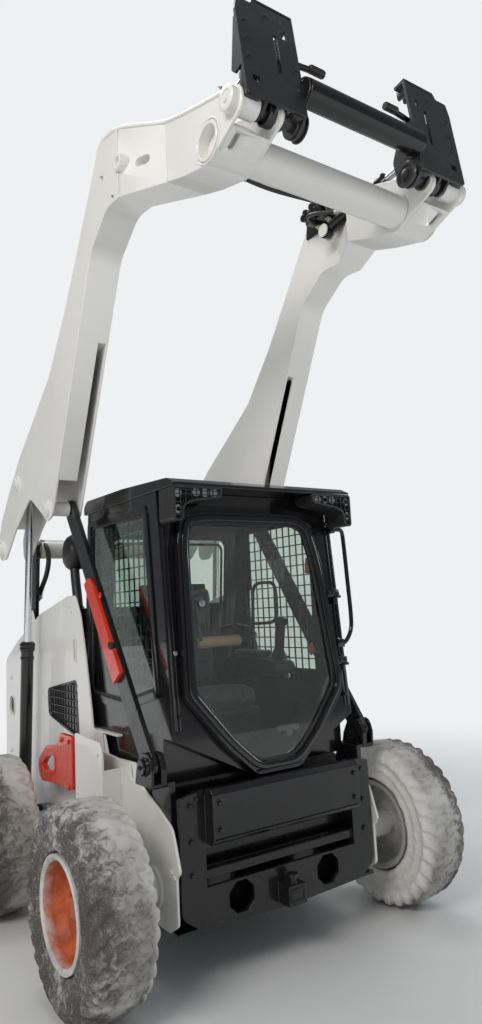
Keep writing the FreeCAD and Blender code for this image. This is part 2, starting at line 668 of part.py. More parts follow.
hitch_bore = rod_z("hitch_bore", 0, "@frame_rear + @hitch_y", 410, 180, "@hitch_radius")
gate_pin = [
    rod_z("gate_pin", "@gate_hinge_x", "@frame_rear + 16", 560, 556, "@hinge_pin"),
    rod_z("gate_pin_foot", "@gate_hinge_x", "@frame_rear + 16", 560, 46, "@hinge_pin + 7"),
    box("gate_pin_head", "@gate_hinge_x - 8", "@frame_rear - 20", 1106, 14, 44, 12),
]
node("rear_bumper", [fuse("rear_bumper_hung", [
    cut("rear_bumper_bar", fuse("rear_bar_with_block", [rear_bar, hitch_block]), [hitch_bore])]
    + gate_pin)])

# Front door: its frame and pane lean with the cab's front wall.
DOOR = [(51 - CAB, 1157, 40), (66 - CAB, 1822, 60), (92 - CAB, 1952, 40), (216 - CAB, 1974, 60),
        (CAB - 270, 1974, 80), (CAB - 170, 1930, 60), (CAB - 122, 1741, 120), (CAB - 70, 1188, 30),
        (CAB - 80, 1114, 30), (CAB - 238, 925, 60), (120, 800, 60), (-120, 800, 60), (238 - CAB, 930, 60)]

RAIL = size("door_rail")
HOLE = shrunk(DOOR, RAIL)


door = prism("door_rim", "XZ", "-@door_gap - @door_thick", "@door_thick", DOOR, holes=((HOLE, 30),))
pane = prism("door_pane", "XZ", "-@door_gap - @door_thick + 14", "@glass + 2", HOLE, 30)
knuckles = []
for k, z in enumerate(DOOR_HINGES):
    knuckles.append(rod_z("door_knuckle_%d" % k, "@cab_half - @door_hinge_in", -24, z, KNUCKLE,
                          "@hinge_pin + 5"))
    knuckles.append(box("door_strap_%d" % k, "@cab_half - 115", -32, z, "115 - @door_hinge_in", 16, KNUCKLE))
pin_bores = [rod_z("door_bore_%d" % k, "@cab_half - @door_hinge_in", -24, z - 10, KNUCKLE + 20,
                   "@hinge_pin + @running_gap") for k, z in enumerate(DOOR_HINGES)]
hung = cut("door_with_hinges", fuse("door_rim_straps", [door] + knuckles), pin_bores)
node("door_frame", [lean_back(hung)])
node("door_glass", [lean_back(pane)])

# Tailgate.
GATE_HINGES = (700, 1040)
gate = prism("tailgate_panel", "XZ", "@frame_rear + 0.3", "@gate_thick", [
    (-515, 610), (502, 610), (502, 1180), (470, 1238), (-470, 1238), (-515, 1180)], 0)
rings = [rod_z("gate_knuckle_%d" % k, "@gate_hinge_x", "@frame_rear + 16", z, 60, "@hinge_pin + 7")
         for k, z in enumerate(GATE_HINGES)]
rings += [box("gate_strap_%d" % k, 480, "@frame_rear + 8", z, "@gate_hinge_x - 480", 16, 60)
          for k, z in enumerate(GATE_HINGES)]
ring_bores = [rod_z("gate_bore_%d" % k, "@gate_hinge_x", "@frame_rear + 16", z - 20, 100,
                    "@hinge_pin + @running_gap") for k, z in enumerate(GATE_HINGES)]
node("tailgate", [cut("gate_hung", fuse("gate_rings", [gate] + rings), ring_bores)])

# Lift arm uprights: a box that opens into two plates where the links and cylinder enter.
UPRIGHT = [
    (-200, 3320, 0), (-200, 3645, 0), (2, 3684, 40), (165, 3453, 200), (449, 3071, 300),
    (699, 2790, 200), (969, 2611, 100), (1207, 2457, 100), (1399, 2295, 100),
    (REAR_PIN[0] + 10, REAR_PIN[1] + 180, 80), (REAR_PIN[0] + 80, REAR_PIN[1] + 60, 50),
    (REAR_PIN[0] + 66, REAR_PIN[1] - 68, 55), (REAR_PIN[0] - 60, REAR_PIN[1] - 68, 50),
    (1300, 2040, 120), (1040, 2190, 70), (DROP[0] + 62, DROP[1] - 30, 60),
    (DROP[0] + 20, DROP[1] - 68, 50), (DROP[0] - 62, DROP[1] - 50, 50),
    (122, 3211, 150), (-69, 3334, 120)]
CAVITY = [
    (320, 2850, 20), (470, 2840, 40), (680, 2774, 100), (950, 2596, 100), (1196, 2442, 60),
    (1388, 2280, 60), (REAR_PIN[0] - 8, REAR_PIN[1] + 162, 20), (REAR_PIN[0] + 120, REAR_PIN[1] + 70, 0),
    (REAR_PIN[0] + 120, 1800, 0), (500, 1800, 0), (DROP[0] - 120, DROP[1] - 50, 0), (230, 2850, 0)]
upright = prism("upright_outside", "YZ", "@arm_inner", "@arm_outer - @arm_inner", UPRIGHT)
FRONT_FOOT = (122, 3211)
FRONT_END = (DROP[0] - 62, DROP[1] - 50)


def front_line(z, inset):
    # A point on the upright's straight front edge, moved into the arm.
    t = (FRONT_FOOT[1] - z) / (FRONT_FOOT[1] - FRONT_END[1])
    return (FRONT_FOOT[0] + t * (FRONT_END[0] - FRONT_FOOT[0]) + inset, z)


slot = prism("upright_slot", "YZ", "@arm_inner + @arm_plate", "@link_slot", CAVITY)
WALL_IN = 1.12 * size("arm_plate")
hollow = prism("upright_hollow", "YZ", "@arm_inner + @arm_plate + @link_slot",
               "@arm_outer - @arm_inner - 2 * @arm_plate - @link_slot",
               [front_line(2850, WALL_IN) + (20,)] + CAVITY[1:-2] + [
                   front_line(2214, -60) + (0,), front_line(2214, WALL_IN) + (12,)])
upright_shell = cut("upright_shell", upright, [slot, hollow])
drop_pin = [
    rod_x("drop_pin", "@arm_inner", "@arm_outer - @arm_inner + 8", DROP[0], DROP[1], "@pin_radius"),
    rod_x("drop_head", "@arm_outer", 12, DROP[0], DROP[1], "@boss_radius - 8"),
    rod_x("rear_head", "@arm_outer", 12, REAR_PIN[0], REAR_PIN[1], "@boss_radius - 4"),
    rod_x("lift_head", "@arm_outer", 12, LIFT_TOP[0], LIFT_TOP[1], "@boss_radius - 8"),
    rod_x("drop_spacer", "@link_face + @link_plate + 4",
          "@arm_outer - @arm_plate - @link_face - @link_plate - 4", DROP[0], DROP[1],
          "@boss_radius - 12"),
]
knee = [V(size("arm_inner"), -200, 3320), V(size("arm_outer"), -200, 3320),
        V(size("arm_outer"), -200, 3645), V(size("arm_inner"), -200, 3645)]
neck = [V(size("nose_inner"), -430, 3300), V(size("nose_outer"), -430, 3300),
        V(size("nose_outer"), -430, 3570), V(size("nose_inner"), -430, 3570)]
bend = doc.addObject("Part::Feature", "knee_bend")
bend.Shape = Part.makeLoft([Part.makePolygon(w + [w[0]]) for w in (knee, neck)], True, True)
channel = box("tilt_channel", "@nose_inner - 20", -445, 3412, "@tilt_x + 44 - @nose_inner + 20", 260, 132)
knee_hole = prism("knee_hole", "YZ", 596, 130, [(-352, 3424), (-284, 3424), (-284, 3464), (-352, 3464)], 19)
knee_bend = cut("knee_bend_open", bend, [channel, knee_hole])
knee_boss = cut("knee_boss_ring", rod_x("knee_boss", "@arm_outer - 26", 42, TILT_BASE[0], TILT_BASE[1], 38),
                [rod_x("knee_boss_bore", "@arm_outer - 6", 40, TILT_BASE[0], TILT_BASE[1], 22)])
tilt_pin = [
    rod_x("tilt_base_pin", "@tilt_x - 32", "@arm_inner - @tilt_x + 36", TILT_BASE[0], TILT_BASE[1], 22),
    rod_x("tilt_base_boss", "@tilt_x + 26", "@arm_inner - @tilt_x - 22", TILT_BASE[0], TILT_BASE[1], 44),
    rod_x("tilt_base_head", "@tilt_x - 32", 10, TILT_BASE[0], TILT_BASE[1], 34),
]
NOSE = [
    (-430, 3300, 0), (-430, 3570, 0), (-518, 3532, 60), (TIP[0] + 46, TIP[1] + 67, 30),
    (TIP[0] - 52, TIP[1] + 42, 46), (TIP[0] - 52, TIP[1] - 48, 46), (-744, 3199, 70),
    (-563, 3251, 60)]
SLOT = [(TIP[0] - 80, 3150), (TIP[0] + 125, 3150), (TIP[0] + 125, 3366), (-700, 3376),
        (-420, 3384), (-420, 3720), (TIP[0] - 80, 3720)]
nose = prism("nose_outside", "YZ", "@nose_inner", "@nose_outer - @nose_inner", NOSE)
nose_slot = prism("nose_slot", "YZ", "@nose_inner + @arm_plate",
                  "@nose_outer - @nose_inner - 2 * @arm_plate", SLOT, 0)
nose_box = cut("nose_box", nose, [nose_slot])
bosses = fuse("nose_bosses", [
    rod_x("nose_outer_boss", "@tilt_x + 36", "@nose_outer + 12 - @tilt_x - 36", TIP[0], TIP[1],
          "@boss_radius - 4"),
    rod_x("nose_inner_boss", "@nose_inner - 12", "@tilt_x - 36 - @nose_inner + 12", TIP[0], TIP[1],
          "@boss_radius - 4")])
nose_bore = rod_x("nose_bore", "@nose_inner - 30", "@nose_outer - @nose_inner + 60", TIP[0], TIP[1],
                  "@pin_radius + @running_gap")
tube_bore = rod_x("nose_tube_bore", "@nose_inner - 30", "@nose_outer - @nose_inner + 60", "@tip_y + @tube_behind",
                  "@tip_z - @tube_below", "@front_tube")
node("arm_uprights", [fuse("upright", [upright_shell, knee_bend, knee_boss] + drop_pin + tilt_pin)], both=True)
node("arm_noses", [cut("arm_nose", fuse("nose_with_bosses", [nose_box, bosses]),
                       [nose_bore, tube_bore])], both=True)
front_tube = rod_x("front_tube_bar", "-@nose_outer - 8", "2 * @nose_outer + 16", "@tip_y + @tube_behind",
                   "@tip_z - @tube_below", "@front_tube")
rear_tube = fuse("rear_tube_with_pins", [
    rod_x("rear_tube_bar", "-@hood_half", "2 * @hood_half", REAR_PIN[0], REAR_PIN[1], "@rear_tube"),
    rod_x("rear_tube_pins", "-@arm_inner", "2 * @arm_inner", REAR_PIN[0], REAR_PIN[1], "@pin_radius")])
node("cross_tubes", [front_tube, rear_tube])

# Links.
link = prism("link_bar", "YZ", "@link_face", "@link_plate",
             strip(LINK, DROP, 52, 52, 50, 46), 48,
             holes=((LINK[0], LINK[1], size("pin_radius") + size("running_gap")),
                    (DROP[0], DROP[1], size("pin_radius") + size("running_gap"))))
node("control_links", [link], both=True)
A1 = along(LINK, DROP, 420)
A2 = along(LINK, DROP, 980)
A_NEAR = along(LINK, DROP, 900)
red_outline = [strip(A1, A2, 46, 40)[0], strip(A1, A2, 46, 40)[1], strip(A1, A2, 46, 16)[2],
               strip(A1, A_NEAR, 46, 41)[2], strip(A1, A2, 46, 40)[3]]
red_bar = prism("support_channel", "YZ", "-@link_face - @link_plate - 22", 22, red_outline, 10)
node("arm_support", [red_bar])
rear_link = prism("rear_link_bar", "YZ", "@rear_link_face", "@link_plate",
                  strip(REAR_BASE, REAR_PIN, 52, 46, 50, 44), 42,
                  holes=((REAR_BASE[0], REAR_BASE[1], size("pin_radius")),
                         (REAR_PIN[0], REAR_PIN[1], size("pin_radius") + size("running_gap"))))
node("rear_links", [rear_link], both=True)


def cylinder_pair(prefix, p, q, x, eye, barrel, rod, barrel_end, rod_length, width, base_pin):
    # A hydraulic cylinder from p to q: its barrel with the base eye, and its rod with the other.
    def spot(distance):
        s = along(p, q, distance)
        return (x, s[0], s[1])

    total = math.hypot(q[0] - p[0], q[1] - p[1])
    gap = size("running_gap")
    eye_ring = rod_x(prefix + "_base_eye", x - width / 2.0, width, p[0], p[1], eye)
    neck = rod_between(prefix + "_neck", spot(eye - 12), spot(eye + 20), 0.45 * width)
    tube = rod_between(prefix + "_tube", spot(eye + 14), spot(barrel_end), barrel)
    gland = rod_between(prefix + "_gland", spot(barrel_end - 46), spot(barrel_end), barrel + 5)
    base_bore = rod_x(prefix + "_base_bore", x - width, 2 * width, p[0], p[1], base_pin + gap)
    tube_bore = rod_between(prefix + "_tube_bore", spot(eye + 18), spot(barrel_end + 10), rod + gap)
    barrels = cut(prefix + "_barrel", fuse(prefix + "_barrel_outside", [eye_ring, neck, tube, gland]),
                  [base_bore, tube_bore])
    rod_eye = rod_x(prefix + "_rod_eye", x - width / 2.0, width, q[0], q[1], eye - 3)
    rod_bar = rod_between(prefix + "_rod_bar", spot(total - rod_length), spot(total - eye + 12), rod)
    rod_bore = rod_x(prefix + "_rod_bore", x - width, 2 * width, q[0], q[1], base_pin - 2)
    rods = cut(prefix + "_rod", fuse(prefix + "_rod_outside", [rod_eye, rod_bar]), [rod_bore])
    return barrels, rods


lift = cylinder_pair("lift", LIFT_BASE, LIFT_TOP, size("lift_x"), 44, size("lift_barrel"),
                     size("lift_rod"), size("lift_barrel_end"), size("lift_rod_length"), 62,
                     size("pin_radius"))
node("lift_barrels", [lift[0]], both=True)
node("lift_rods", [lift[1]], both=True)
tilt = cylinder_pair("tilt", TILT_BASE, TILT_TOP, size("tilt_x"), 38, size("tilt_barrel"),
                     size("tilt_rod"), size("tilt_barrel_end"), size("tilt_rod_length"), 28, 22)
node("tilt_barrels", [tilt[0]], both=True)
node("tilt_rods", [tilt[1]], both=True)

# Tool carrier, drawn upright in front of its hinge and leaned back about it.
LEAN_BACK = FreeCAD.Rotation(V(1, 0, 0), -size("carrier_lean"))
HINGE = V(0, TIP[0], TIP[1])


def lean_carrier(obj):
    obj.Placement = FreeCAD.Placement(HINGE - LEAN_BACK.multVec(HINGE), LEAN_BACK).multiply(obj.Placement)
    return obj


FACE = TIP[0] - size("carrier_gap")
PLATE = size("carrier_plate")
H = size("carrier_height")
CI = size("carrier_inner")
CO = size("carrier_outer")
FOOT_Z = TIP[1] - 14
plate = prism("carrier_face", "XZ", "@tip_y - @carrier_gap - @carrier_plate", "@carrier_plate", [
    (CI, FOOT_Z, 20), (CI, FOOT_Z + 150, 30), (CI, FOOT_Z + H, 20), (CO - 90, FOOT_Z + H, 20),
    (CO - 78, FOOT_Z + H - 30, 10), (CO - 12, FOOT_Z + H - 30, 10), (CO, FOOT_Z + H - 90, 30),
    (CO, FOOT_Z, 20)],
    holes=(([(CI + 92, FOOT_Z + 150), (CI + 112, FOOT_Z + 150), (CI + 112, FOOT_Z + 330),
             (CI + 92, FOOT_Z + 330)], 9),
           ([(CI + 40, FOOT_Z + 330), (CI + 72, FOOT_Z + 330), (CI + 72, FOOT_Z + 372),
             (CI + 40, FOOT_Z + 372)], 9),
           ([(CO - 70, FOOT_Z + 60), (CO - 34, FOOT_Z + 60), (CO - 34, FOOT_Z + 90),
             (CO - 70, FOOT_Z + 90)], 9)))
upper_lip = box("carrier_lip", CI, FACE - PLATE, FOOT_Z + H - 14, CO - 92 - CI, 60, 14)
lower_lip = box("carrier_shoe", CI, FACE - PLATE, FOOT_Z, "@nose_inner - @carrier_inner - 34", 60, 14)
flange = prism("carrier_flange", "YZ", CI, 12, [
    (FACE - PLATE / 2, FOOT_Z + 10, 0), (FACE - PLATE / 2, FOOT_Z + 250, 0), (FACE + 26, FOOT_Z + 246, 20),
    (TIP[0] + 34, FOOT_Z + 190, 90), (TIP[0] + 72, FOOT_Z + 130, 60), (TIP[0] + 62, TIP[1] - 10, 60),
    (TIP[0] + 6, TIP[1] - 64, 60), (TIP[0] - 52, TIP[1] - 30, 40)])
gusset = prism("carrier_gusset", "YZ", CO - 12, 12, [
    (FACE - PLATE / 2, FOOT_Z + 128, 0), (FACE - PLATE / 2, FOOT_Z + H - 110, 0), (FACE + 8, FOOT_Z + H - 120, 6),
    (FACE + 60, FOOT_Z + 150, 12), (FACE + 46, FOOT_Z + 128, 10)])
OFFSET = LEAN_BACK.inverted().multVec(V(0, TILT_TOP[0] - TIP[0], TILT_TOP[1] - TIP[1]))
EYE = (TIP[0] + OFFSET.y, TIP[1] + OFFSET.z)
ear_outline = [
    (FACE, FOOT_Z, 0), (FACE, EYE[1] + 60, 0), (FACE + 40, EYE[1] + 60, 20),
    (EYE[0] + 32, EYE[1] + 30, 30), (EYE[0] + 30, EYE[1] - 34, 30), (TIP[0] + 36, TIP[1] + 20, 30),
    (TIP[0] + 32, TIP[1] - 34, 30), (TIP[0] - 20, TIP[1] - 40, 30)]
ears = [
    prism("ear_inner", "YZ", "@tilt_x - 32", 12, ear_outline),
    prism("ear_outer", "YZ", "@tilt_x + 20", 12, ear_outline),
    rod_x("hinge_pin", "@carrier_inner - 16", "@nose_outer - @carrier_inner + 42", TIP[0], TIP[1],
          "@pin_radius"),
    rod_x("hinge_head_in", "@nose_inner - 26", 10, TIP[0], TIP[1], "@pin_radius + 14"),
    rod_x("hinge_ring", "@carrier_inner - 16", 40, TIP[0], TIP[1], "@pin_radius + 20"),
    rod_x("hinge_head_out", "@nose_outer + 16", 10, TIP[0], TIP[1], "@pin_radius + 14"),
]
tube = rod_x("carrier_tube_bar", "-@carrier_inner", "2 * @carrier_inner", FACE + 2, TIP[1] + 110,
             "@carrier_tube")
node("carrier_plates", [lean_carrier(fuse("carrier_plate_all", [plate, upper_lip, lower_lip, flange, gusset] + ears))],
     both=True)
node("carrier_frame", [lean_carrier(tube)])
LEVER = TIP[1] + 262
LY = FACE + 28
lever = fuse("lever_all", [
    rod_between("lever_arm", (CI + 50, LY, LEVER), (CI - 140, LY - 24, LEVER - 4), 12),
    rod_between("lever_boss", (CI + 50, FACE, LEVER), (CI + 50, FACE + 42, LEVER), 28)])
node("lock_levers", [lean_carrier(lever)], both=True)

# Wheels: a worn block tyre and a dished rim on each hub.
R = size("wheel_radius")
TW = size("tyre_width") / 2.0
RIM = size("rim_radius")
WX = size("wheel_mid_x")
HUB = size("hub_radius")
WALL = size("rim_wall")
STUB = size("stub_radius") + size("running_gap")


def wheel(name, y, sign):
    tyre = turned(name + "_carcass", "XZ", (0, 0), (1, 0), [
        (WX - TW + 26, RIM, 0), (WX - TW + 4, RIM + 40, 0), (WX - TW, RIM + 95, 0),
        (WX - TW + 14, R - 34, 0), (WX - TW + 40, R, 0), (WX + TW - 40, R, 0),
        (WX + TW - 14, R - 34, 0), (WX + TW, RIM + 95, 0), (WX + TW - 4, RIM + 40, 0),
        (WX + TW - 26, RIM, 0)])
    rim = turned(name + "_dish", "XZ", (0, 0), (1, 0), [
        (WX - TW + 20, RIM, 0), (WX + TW - 20, RIM, 0), (WX + TW - 16, RIM - 14, 0),
        (WX + TW - 26, RIM - 26, 0), (WX + TW - 70, RIM - 30, 0), (WX + 34, RIM - 44, 0),
        (WX + 14, HUB + 30, 0), (WX + 20, HUB, 0), (WX + 20, STUB, 0), (WX - 10, STUB, 0),
        (WX - 10, HUB + 10, 0), (WX + 2, HUB + 40, 0), (WX + 16, RIM - 54, 0),
        (WX - TW + 60, RIM - 36, 0), (WX - TW + 26, RIM - 26, 0), (WX - TW + 16, RIM - 14, 0)])
    for part_name, body in (("tyre", tyre), ("rim", rim)):
        item = body if sign > 0 else mirror(name + "_" + part_name + "_mirror", body)
        holder = doc.addObject("Part::Compound", name + "_" + part_name)
        holder.Links = [item]
        holder.Label = name + "_" + part_name
        bind(holder, "Placement.Base.y", "@front_axle_y" + y)
        bind(holder, "Placement.Base.z", "@wheel_radius")
        NODES.append(holder)


for name, y, sign in (
        ("front_left", "", 1), ("front_right", "", -1),
        ("rear_left", " + @wheelbase", 1), ("rear_right", " + @wheelbase", -1)):
    wheel(name, y, sign)

doc.recompute()

for obj in doc.Objects:
    state = list(obj.State)
    if "Invalid" in state or "Error" in state:
        raise RuntimeError("failed object: %s %s" % (obj.Name, state))
for obj in NODES:
    shape = obj.Shape
    if shape.isNull() or not shape.isValid() or not shape.Solids:
        raise RuntimeError("bad shape: " + obj.Label)
    shape.exportStep("parts/" + obj.Label + ".step")
print(len(NODES), "pieces")
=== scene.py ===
import json
import math

import bpy
from mathutils import Matrix, Vector


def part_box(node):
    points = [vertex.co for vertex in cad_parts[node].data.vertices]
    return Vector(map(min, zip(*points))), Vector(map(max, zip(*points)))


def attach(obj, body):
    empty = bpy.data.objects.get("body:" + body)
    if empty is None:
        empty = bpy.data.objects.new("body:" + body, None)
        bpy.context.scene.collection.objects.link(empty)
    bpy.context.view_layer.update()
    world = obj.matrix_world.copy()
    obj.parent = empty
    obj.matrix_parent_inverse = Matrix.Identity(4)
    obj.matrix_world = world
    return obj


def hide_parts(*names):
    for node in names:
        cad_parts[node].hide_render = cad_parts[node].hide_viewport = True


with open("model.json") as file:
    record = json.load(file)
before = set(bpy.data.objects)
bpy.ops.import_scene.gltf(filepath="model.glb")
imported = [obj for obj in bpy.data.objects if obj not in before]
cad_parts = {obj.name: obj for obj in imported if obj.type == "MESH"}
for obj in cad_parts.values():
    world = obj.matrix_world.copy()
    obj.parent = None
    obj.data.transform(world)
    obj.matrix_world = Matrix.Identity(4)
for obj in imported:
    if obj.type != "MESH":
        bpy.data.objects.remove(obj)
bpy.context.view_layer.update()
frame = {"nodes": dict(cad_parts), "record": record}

NODES = frame["nodes"]
BODY_OF = {node: body for body, members in frame["record"]["behaviour"]["bodies"].items()
           for node in members}
SLOT_OF = {part["node"]: part["material_slot"] for part in frame["record"]["subparts"]}
WHEELS = ("front_left", "front_right", "rear_left", "rear_right")

MM = 0.001
SIDES = (-1, 1)
ORIGIN, UP, AHEAD = (0, 0, 0), (0, 0, 1), (0, -1, 0)
FLOAT = "NodeSocketFloat"
BACKDROP = (0.86, 0.87, 0.88)

bl_info = {
    "name": "Skid steer loader looks",
    "version": (1, 0, 0),
    "blender": (4, 5, 0),
    "location": "View3D > Sidebar > Loader",
    "description": "Finishes, trim and stage for a skid steer loader with raised arms",
    "category": "Object",
}


def paint_property(title, note, default):
    return bpy.props.FloatVectorProperty(name=title, description=note, default=default, size=3,
                                         min=0.0, max=1.0, subtype="COLOR")


def length_property(title, note, default):
    return bpy.props.FloatProperty(name=title, description=note, default=default, min=0.0,
                                   unit="LENGTH")


class LoaderPaints(bpy.types.PropertyGroup):
    """Colours of the machine's finishes."""

    arm_white: paint_property("Arm white", "Gloss white on the arms and frame", (0.78, 0.77, 0.73))
    gloss_black: paint_property("Gloss black", "Black paint on the cab and links", (0.007, 0.007, 0.008))
    signal_red: paint_property("Signal red", "Tie-down hooks and arm support", (0.62, 0.035, 0.012))
    rim_orange: paint_property("Rim orange", "Old paint inside the rims", (0.62, 0.13, 0.035))
    rubber: paint_property("Rubber", "Tyre and hose rubber", (0.022, 0.021, 0.020))
    overspray: paint_property("Overspray", "White paint mist on the tyres", (0.62, 0.61, 0.58))
    dust: paint_property("Dust", "Dry grey dust", (0.27, 0.25, 0.22))
    steel: paint_property("Steel", "Bare and plated steel", (0.55, 0.55, 0.56))
    vinyl: paint_property("Vinyl", "Seat cover", (0.030, 0.030, 0.034))
    floor: paint_property("Floor", "Studio floor", (0.70, 0.70, 0.69))


class LoaderTrim(bpy.types.PropertyGroup):
    """Sizes of the trim that is added round the construction."""

    edge: length_property("Plate edge", "Rounding of plate edges", 0.003)
    seal: length_property("Window seal", "Radius of the rubber seals round the windows", 0.009)


class LoaderView(bpy.types.PropertyGroup):
    """Where the camera stands and what it looks through."""

    place: bpy.props.FloatVectorProperty(
        name="Place", description="Camera place", size=3, subtype="TRANSLATION",
        default=(-1.989, -3.445, 1.519))
    yaw: bpy.props.FloatProperty(name="Yaw", description="Turn from +Y towards +X",
                                 default=math.radians(34.5), subtype="ANGLE")
    pitch: bpy.props.FloatProperty(name="Pitch", description="Tilt above the horizon",
                                   default=math.radians(7.72), subtype="ANGLE")
    roll: bpy.props.FloatProperty(name="Roll", description="Turn about the line of sight",
                                  default=math.radians(-2.85), subtype="ANGLE")
    lens: bpy.props.FloatProperty(name="Lens", description="Focal length", default=25.4, min=1.0,
                                  unit="CAMERA")


# Helpers for node trees.

def place_node(tree, kind, values=None, **settings):
    """Adds a shader node, with its plain settings and its inputs' values."""
    made = tree.nodes.new(kind)
    for key, value in settings.items():
        setattr(made, key, value)
    for key, value in (values or {}).items():
        made.inputs[key].default_value = value
    return made


def feed(tree, node, values):
    """Gives a node's inputs their values, each a socket or a plain value."""
    for key, value in values.items():
        if isinstance(value, bpy.types.NodeSocket):
            tree.links.new(value, node.inputs[key])
        else:
            node.inputs[key].default_value = value
    return node


def mix_colour(tree, factor, a, b):
    """Mixes two colours; each argument is a socket or a plain value."""
    made = place_node(tree, "ShaderNodeMix", data_type="RGBA")
    return feed(tree, made, {0: factor, 6: a, 7: b}).outputs[2]


def ramp(tree, value, low, high, low_to=0.0, high_to=1.0):
    """Maps a value's range to another, held at both ends."""
    made = place_node(tree, "ShaderNodeMapRange", interpolation_type="SMOOTHSTEP",
                      values={1: low, 2: high, 3: low_to, 4: high_to})
    tree.links.new(value, made.inputs[0])
    return made.outputs[0]


def calculate(tree, operation, a, b=0.0):
    """One sum of two sockets or plain values."""
    return feed(tree, place_node(tree, "ShaderNodeMath", operation=operation), {0: a, 1: b}).outputs[0]


def plus(tree, a, b):
    return calculate(tree, "ADD", a, b)


def minus(tree, a, b):
    return calculate(tree, "SUBTRACT", a, b)


def times(tree, a, b):
    return calculate(tree, "MULTIPLY", a, b)


def new_group(name, inputs, outputs):
    """A shader node group with named inputs and outputs: (name, kind, default) and (name, kind)."""
    tree = bpy.data.node_groups.new(name, "ShaderNodeTree")
    for title, kind, value in inputs:
        made = tree.interface.new_socket(name=title, in_out="INPUT", socket_type=kind)
        made.default_value = value
    for title, kind in outputs:
        tree.interface.new_socket(name=title, in_out="OUTPUT", socket_type=kind)
    start = tree.nodes.new("NodeGroupInput")
    end = tree.nodes.new("NodeGroupOutput")
    return tree, start, end


def use_group(tree, name, values):
    """Places a group in a tree, with its own values."""
    made = tree.nodes.new("ShaderNodeGroup")
    made.node_tree = bpy.data.node_groups[name]
    return feed(tree, made, values)


def noise_at(tree, scale, detail, place=None, roughness=0.6, distortion=0.0, stretch=None):
    """Noise on object coordinates; scale is a socket or a plain value."""
    if place is None:
        place = tree.nodes.new("ShaderNodeTexCoord").outputs["Object"]
    if stretch:
        mapping = place_node(tree, "ShaderNodeMapping", values={"Scale": stretch})
        tree.links.new(place, mapping.inputs["Vector"])
        place = mapping.outputs["Vector"]
    made = place_node(tree, "ShaderNodeTexNoise",
                      values={"Detail": detail, "Roughness": roughness, "Distortion": distortion})
    return feed(tree, made, {"Vector": place, "Scale": scale}).outputs["Fac"]


def build_soiling_group():
    """Dust and grime: patches, more of them low on the machine and on faces that look up."""
    tree, start, end = new_group("soiling", (
        ("Patch Scale", FLOAT, 3.0), ("Amount", FLOAT, 0.4), ("Low Edge", FLOAT, 0.2),
        ("High Edge", FLOAT, 1.2), ("On Top", FLOAT, 0.3)), (("Mask", FLOAT), ("Speckle", FLOAT)))
    coordinates = tree.nodes.new("ShaderNodeTexCoord")
    broad = noise_at(tree, start.outputs["Patch Scale"], 6.0, coordinates.outputs["Object"], 0.62)
    fine = noise_at(tree, 46.0, 4.0, coordinates.outputs["Object"], 0.7)
    axes = tree.nodes.new("ShaderNodeSeparateXYZ")
    tree.links.new(coordinates.outputs["Object"], axes.inputs[0])
    height = place_node(tree, "ShaderNodeMapRange", interpolation_type="SMOOTHSTEP",
                        values={3: 1.0, 4: 0.25})
    tree.links.new(axes.outputs["Z"], height.inputs[0])
    tree.links.new(start.outputs["Low Edge"], height.inputs[1])
    tree.links.new(start.outputs["High Edge"], height.inputs[2])
    facing = tree.nodes.new("ShaderNodeSeparateXYZ")
    geometry = tree.nodes.new("ShaderNodeNewGeometry")
    tree.links.new(geometry.outputs["Normal"], facing.inputs[0])
    top = times(tree, ramp(tree, facing.outputs["Z"], 0.3, 0.95), start.outputs["On Top"])
    patches = times(tree, ramp(tree, broad, 0.42, 0.72), height.outputs[0])
    grain = ramp(tree, fine, 0.35, 0.7, 0.55, 1.0)
    total = times(tree, plus(tree, patches, top), grain)
    tree.links.new(times(tree, total, start.outputs["Amount"]), end.inputs["Mask"])
    tree.links.new(ramp(tree, fine, 0.66, 0.74), end.inputs["Speckle"])


def build_edge_group():
    """Where a face turns sharply into the next one, broken up by noise."""
    tree, start, end = new_group("edge_rub", (
        ("Width", FLOAT, 0.004), ("Amount", FLOAT, 0.5)), (("Mask", FLOAT),))
    round_normal = place_node(tree, "ShaderNodeBevel", samples=4)
    tree.links.new(start.outputs["Width"], round_normal.inputs["Radius"])
    geometry = tree.nodes.new("ShaderNodeNewGeometry")
    dot = place_node(tree, "ShaderNodeVectorMath", operation="DOT_PRODUCT")
    tree.links.new(round_normal.outputs["Normal"], dot.inputs[0])
    tree.links.new(geometry.outputs["Normal"], dot.inputs[1])
    edge = ramp(tree, dot.outputs["Value"], 0.97, 0.80)
    broken = ramp(tree, noise_at(tree, 38.0, 5.0, None, 0.7), 0.38, 0.62)
    masked = times(tree, times(tree, edge, broken), start.outputs["Amount"])
    tree.links.new(masked, end.inputs["Mask"])


def build_skin_group():
    """The fine height of sprayed paint: orange peel and a little grit in it."""
    tree, start, end = new_group("sprayed_skin", (
        ("Peel Scale", FLOAT, 260.0), ("Grit", FLOAT, 0.3)), (("Height", FLOAT),))
    peel = noise_at(tree, start.outputs["Peel Scale"], 2.0, None, 0.4)
    grit = ramp(tree, noise_at(tree, 620.0, 2.0, None, 0.5), 0.62, 0.80)
    tree.links.new(plus(tree, peel, times(tree, grit, start.outputs["Grit"])), end.inputs["Height"])


def start_material(name, slots=None):
    """A new material with its Principled BSDF and output in place."""
    made = bpy.data.materials.new(name)
    made.use_nodes = True
    tree = made.node_tree
    tree.nodes.clear()
    shader = tree.nodes.new("ShaderNodeBsdfPrincipled")
    out = tree.nodes.new("ShaderNodeOutputMaterial")
    tree.links.new(shader.outputs["BSDF"], out.inputs["Surface"])
    for key, value in (slots or {}).items():
        shader.inputs[key].default_value = value
    return made, tree, shader


